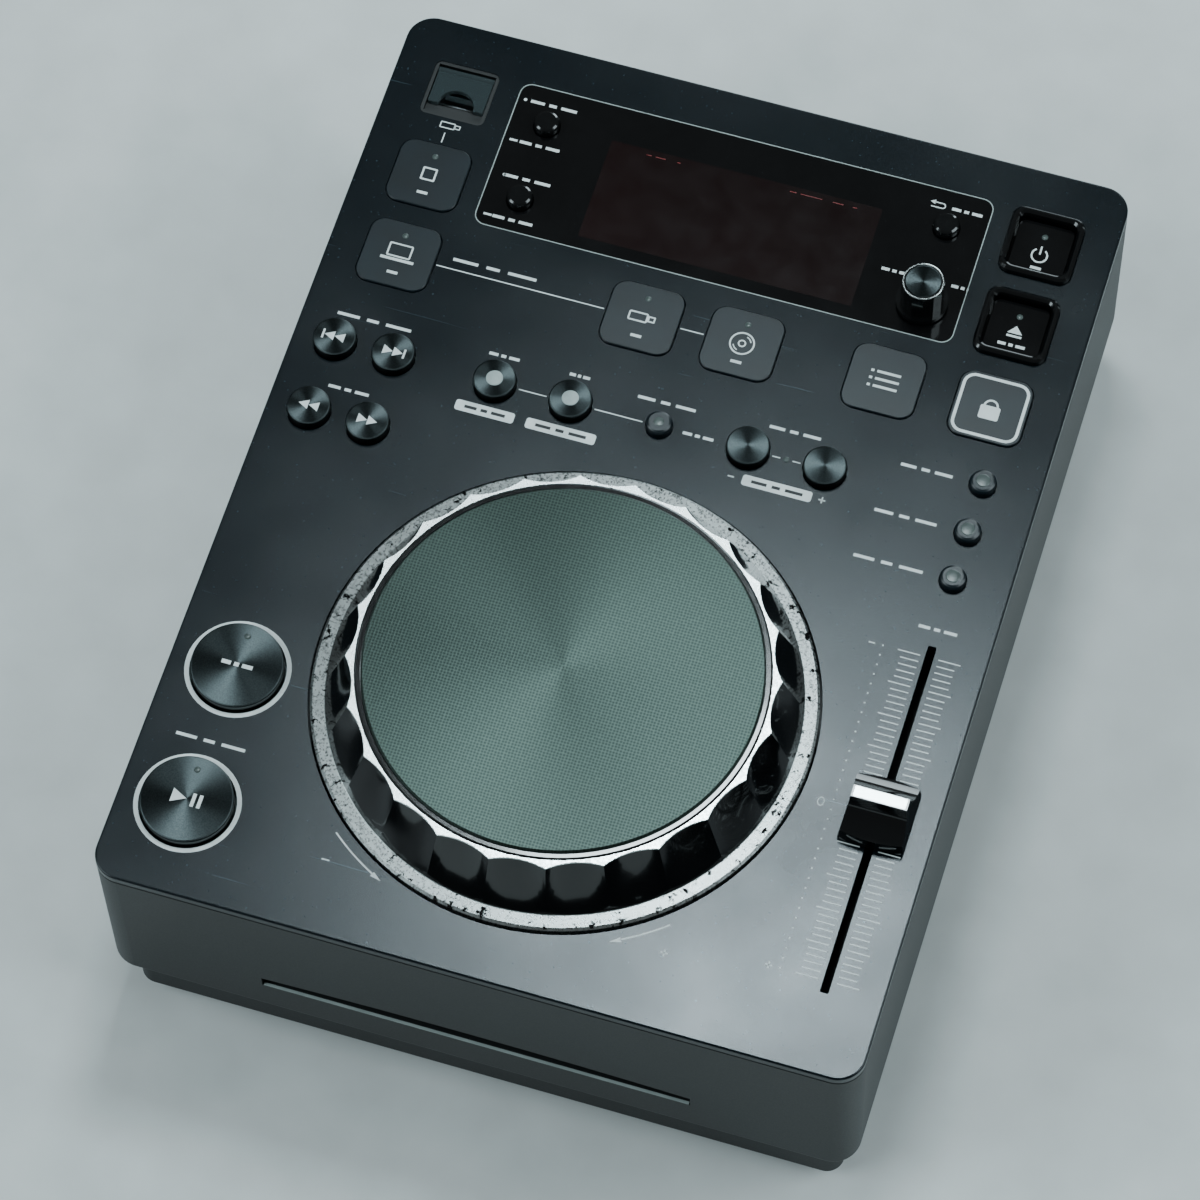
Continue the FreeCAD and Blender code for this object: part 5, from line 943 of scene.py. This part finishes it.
def trim_rear():
    """Coloured rings round the phono sockets, at the rear wall."""
    low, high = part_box("rear_jacks")
    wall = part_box("case_shell")[1][1]
    centre_z = (low[2] + high[2]) / 2
    right = high[0] - 6.0 * MM
    pitch = 15.0 * MM
    quarter = Matrix.Rotation(math.radians(-90), 3, "X")
    ring = ((5.03, 0.02), (6.0, 0.02), (6.0, 0.4), (5.8, 0.6), (5.03, 0.6))
    for name, x, finish in (("phono_collar_right", right, "red_plastic"),
                            ("phono_collar_left", right - pitch, "white_plastic")):
        turned(name, (x, wall, centre_z), ring, finish, "case", turn=quarter)


def lay_floor(size):
    """The pale card that the player stands on."""
    material, tree, shader, place = start("matt_floor_card", "#cfd3d2", 0.8)
    noise = add(tree, "ShaderNodeTexNoise", {"Scale": 40.0, "Detail": 4.0}, {"Vector": place})
    tree.links.new(ramp(tree, noise.outputs["Fac"], ((0.3, "#c9cdcc"), (0.7, "#d4d8d7"))),
                   shader.inputs["Base Color"])
    mesh = bmesh.new()
    bmesh.ops.create_grid(mesh, x_segments=2, y_segments=2, size=size / 2)
    data = bpy.data.meshes.new("floor")
    mesh.to_mesh(data)
    mesh.free()
    data.materials.append(material)
    floor = bpy.data.objects.new("floor", data)
    bpy.context.scene.collection.objects.link(floor)


def hang_softboxes(key_power, fill_power):
    """A small key light whose glow lies on the deck's front right, and three large softboxes round it."""
    softboxes = (
        ("key_softbox", (-0.06, 0.345, 1.25), 0.24, key_power),
        ("left_softbox", (-1.5, -0.9, 1.5), 1.4, fill_power),
        ("right_softbox", (1.6, 0.2, 1.5), 1.4, fill_power * 0.8),
        ("rear_softbox", (0.1, 2.2, 1.0), 1.0, fill_power * 0.6),
    )
    for name, spot, size, power in softboxes:
        lamp = bpy.data.lights.new(name, "AREA")
        lamp.shape = "SQUARE"
        lamp.size = size
        lamp.energy = power
        lamp.color = (0.8, 0.95, 1.0)
        box = bpy.data.objects.new(name, lamp)
        aim = DECK - Vector(spot)
        box.matrix_world = Matrix.Translation(spot) @ aim.to_track_quat("-Z", "Y").to_matrix().to_4x4()
        bpy.context.scene.collection.objects.link(box)


def light_room():
    """A faint cool light from all round."""
    world = bpy.data.worlds.new("studio")
    world.use_nodes = True
    background = world.node_tree.nodes["Background"]
    background.inputs["Color"].default_value = linear("#dfe6e6")
    background.inputs["Strength"].default_value = 0.1
    bpy.context.scene.world = world


def place_camera():
    """The camera at the photograph's angle, by its place from the deck's middle in millimetres."""
    spot = Vector((227.38, -676.71, 1360.99))
    forward = Vector((-0.14883, 0.42684, -0.89199)).normalized()
    upward = Vector((-0.25620, 0.85459, 0.45169)).normalized()
    sideways = forward.cross(upward).normalized()
    upward = sideways.cross(forward)
    lens = bpy.data.cameras.new("camera")
    lens.lens = 164.68
    lens.sensor_width = 36.0
    lens.clip_end = 20.0
    camera = bpy.data.objects.new("camera", lens)
    turn = Matrix((sideways, upward, -forward)).transposed().to_4x4()
    camera.matrix_world = Matrix.Translation(DECK + spot * MM) @ turn
    bpy.context.scene.collection.objects.link(camera)
    bpy.context.scene.camera = camera


def lay_stage(settings):
    """The floor, the lights and the camera."""
    lay_floor(settings.floor_size)
    hang_softboxes(settings.key_power, settings.fill_power)
    light_room()
    place_camera()


# operators, panel and registration


class PLAYER_OT_finishes(bpy.types.Operator):
    """Give every solid of the player its finish"""

    bl_idname = "player.finishes"
    bl_label = "Finishes"

    def execute(self, context):
        dress_nodes()
        return {"FINISHED"}


class PLAYER_OT_deck_print(bpy.types.Operator):
    """Print the rings, lines, boxes and arrows on the deck"""

    bl_idname = "player.deck_print"
    bl_label = "Deck print"

    def execute(self, context):
        print_deck(context.scene.player_deck)
        return {"FINISHED"}


class PLAYER_OT_fader_scale(bpy.types.Operator):
    """Print the fader's ticks, dots and signs"""

    bl_idname = "player.fader_scale"
    bl_label = "Fader scale"

    def execute(self, context):
        print_fader_scale(context.scene.player_fader)
        return {"FINISHED"}


class PLAYER_OT_window(bpy.types.Operator):
    """Print the window and lay the display behind it"""

    bl_idname = "player.window"
    bl_label = "Display window"

    def execute(self, context):
        print_window(context.scene.player_deck)
        return {"FINISHED"}


class PLAYER_OT_key_signs(bpy.types.Operator):
    """Print the sign on each key"""

    bl_idname = "player.key_signs"
    bl_label = "Key signs"

    def execute(self, context):
        mark_keys(context.scene.player_deck)
        return {"FINISHED"}


class PLAYER_OT_lamps(bpy.types.Operator):
    """Fit the small lamps and lenses"""

    bl_idname = "player.lamps"
    bl_label = "Lamps and lenses"

    def execute(self, context):
        fit_lamps(context.scene.player_lamps)
        return {"FINISHED"}


class PLAYER_OT_control_trim(bpy.types.Operator):
    """Trim the fader cap and the selector"""

    bl_idname = "player.control_trim"
    bl_label = "Control trim"

    def execute(self, context):
        trim_controls()
        return {"FINISHED"}


class PLAYER_OT_wall_trim(bpy.types.Operator):
    """Paint a highlight on the disc slot's sill at the front and trim the sockets at the rear"""

    bl_idname = "player.wall_trim"
    bl_label = "Wall trim"

    def execute(self, context):
        paint_sill_highlight()
        trim_rear()
        return {"FINISHED"}


class PLAYER_OT_stage(bpy.types.Operator):
    """Lay the floor, the lights and the camera"""

    bl_idname = "player.stage"
    bl_label = "Stage"

    def execute(self, context):
        lay_stage(context.scene.player_stage)
        return {"FINISHED"}


OPERATORS = (
    PLAYER_OT_finishes,
    PLAYER_OT_deck_print,
    PLAYER_OT_fader_scale,
    PLAYER_OT_window,
    PLAYER_OT_key_signs,
    PLAYER_OT_lamps,
    PLAYER_OT_control_trim,
    PLAYER_OT_wall_trim,
    PLAYER_OT_stage,
)
SETTINGS = {
    "player_deck": DeckSettings,
    "player_fader": FaderSettings,
    "player_lamps": LampSettings,
    "player_stage": StageSettings,
}


class PLAYER_PT_panel(bpy.types.Panel):
    """The player's pieces in the sidebar"""

    bl_label = "Tabletop disc player"
    bl_space_type = "VIEW_3D"
    bl_region_type = "UI"
    bl_category = "Player"

    def draw(self, context):
        for operator in OPERATORS:
            self.layout.operator(operator.bl_idname)
        for name, group in SETTINGS.items():
            for field in group.__annotations__:
                self.layout.prop(getattr(context.scene, name), field)


def register():
    for kind in (*SETTINGS.values(), *OPERATORS, PLAYER_PT_panel):
        bpy.utils.register_class(kind)
    for name, group in SETTINGS.items():
        setattr(bpy.types.Scene, name, bpy.props.PointerProperty(type=group))


def unregister():
    for name in SETTINGS:
        delattr(bpy.types.Scene, name)
    for kind in (PLAYER_PT_panel, *OPERATORS, *SETTINGS.values()):
        bpy.utils.unregister_class(kind)


def main():
    register()
    for operator in OPERATORS:
        family, action = operator.bl_idname.split(".")
        getattr(getattr(bpy.ops, family), action)()


if __name__ == "__main__":
    main()
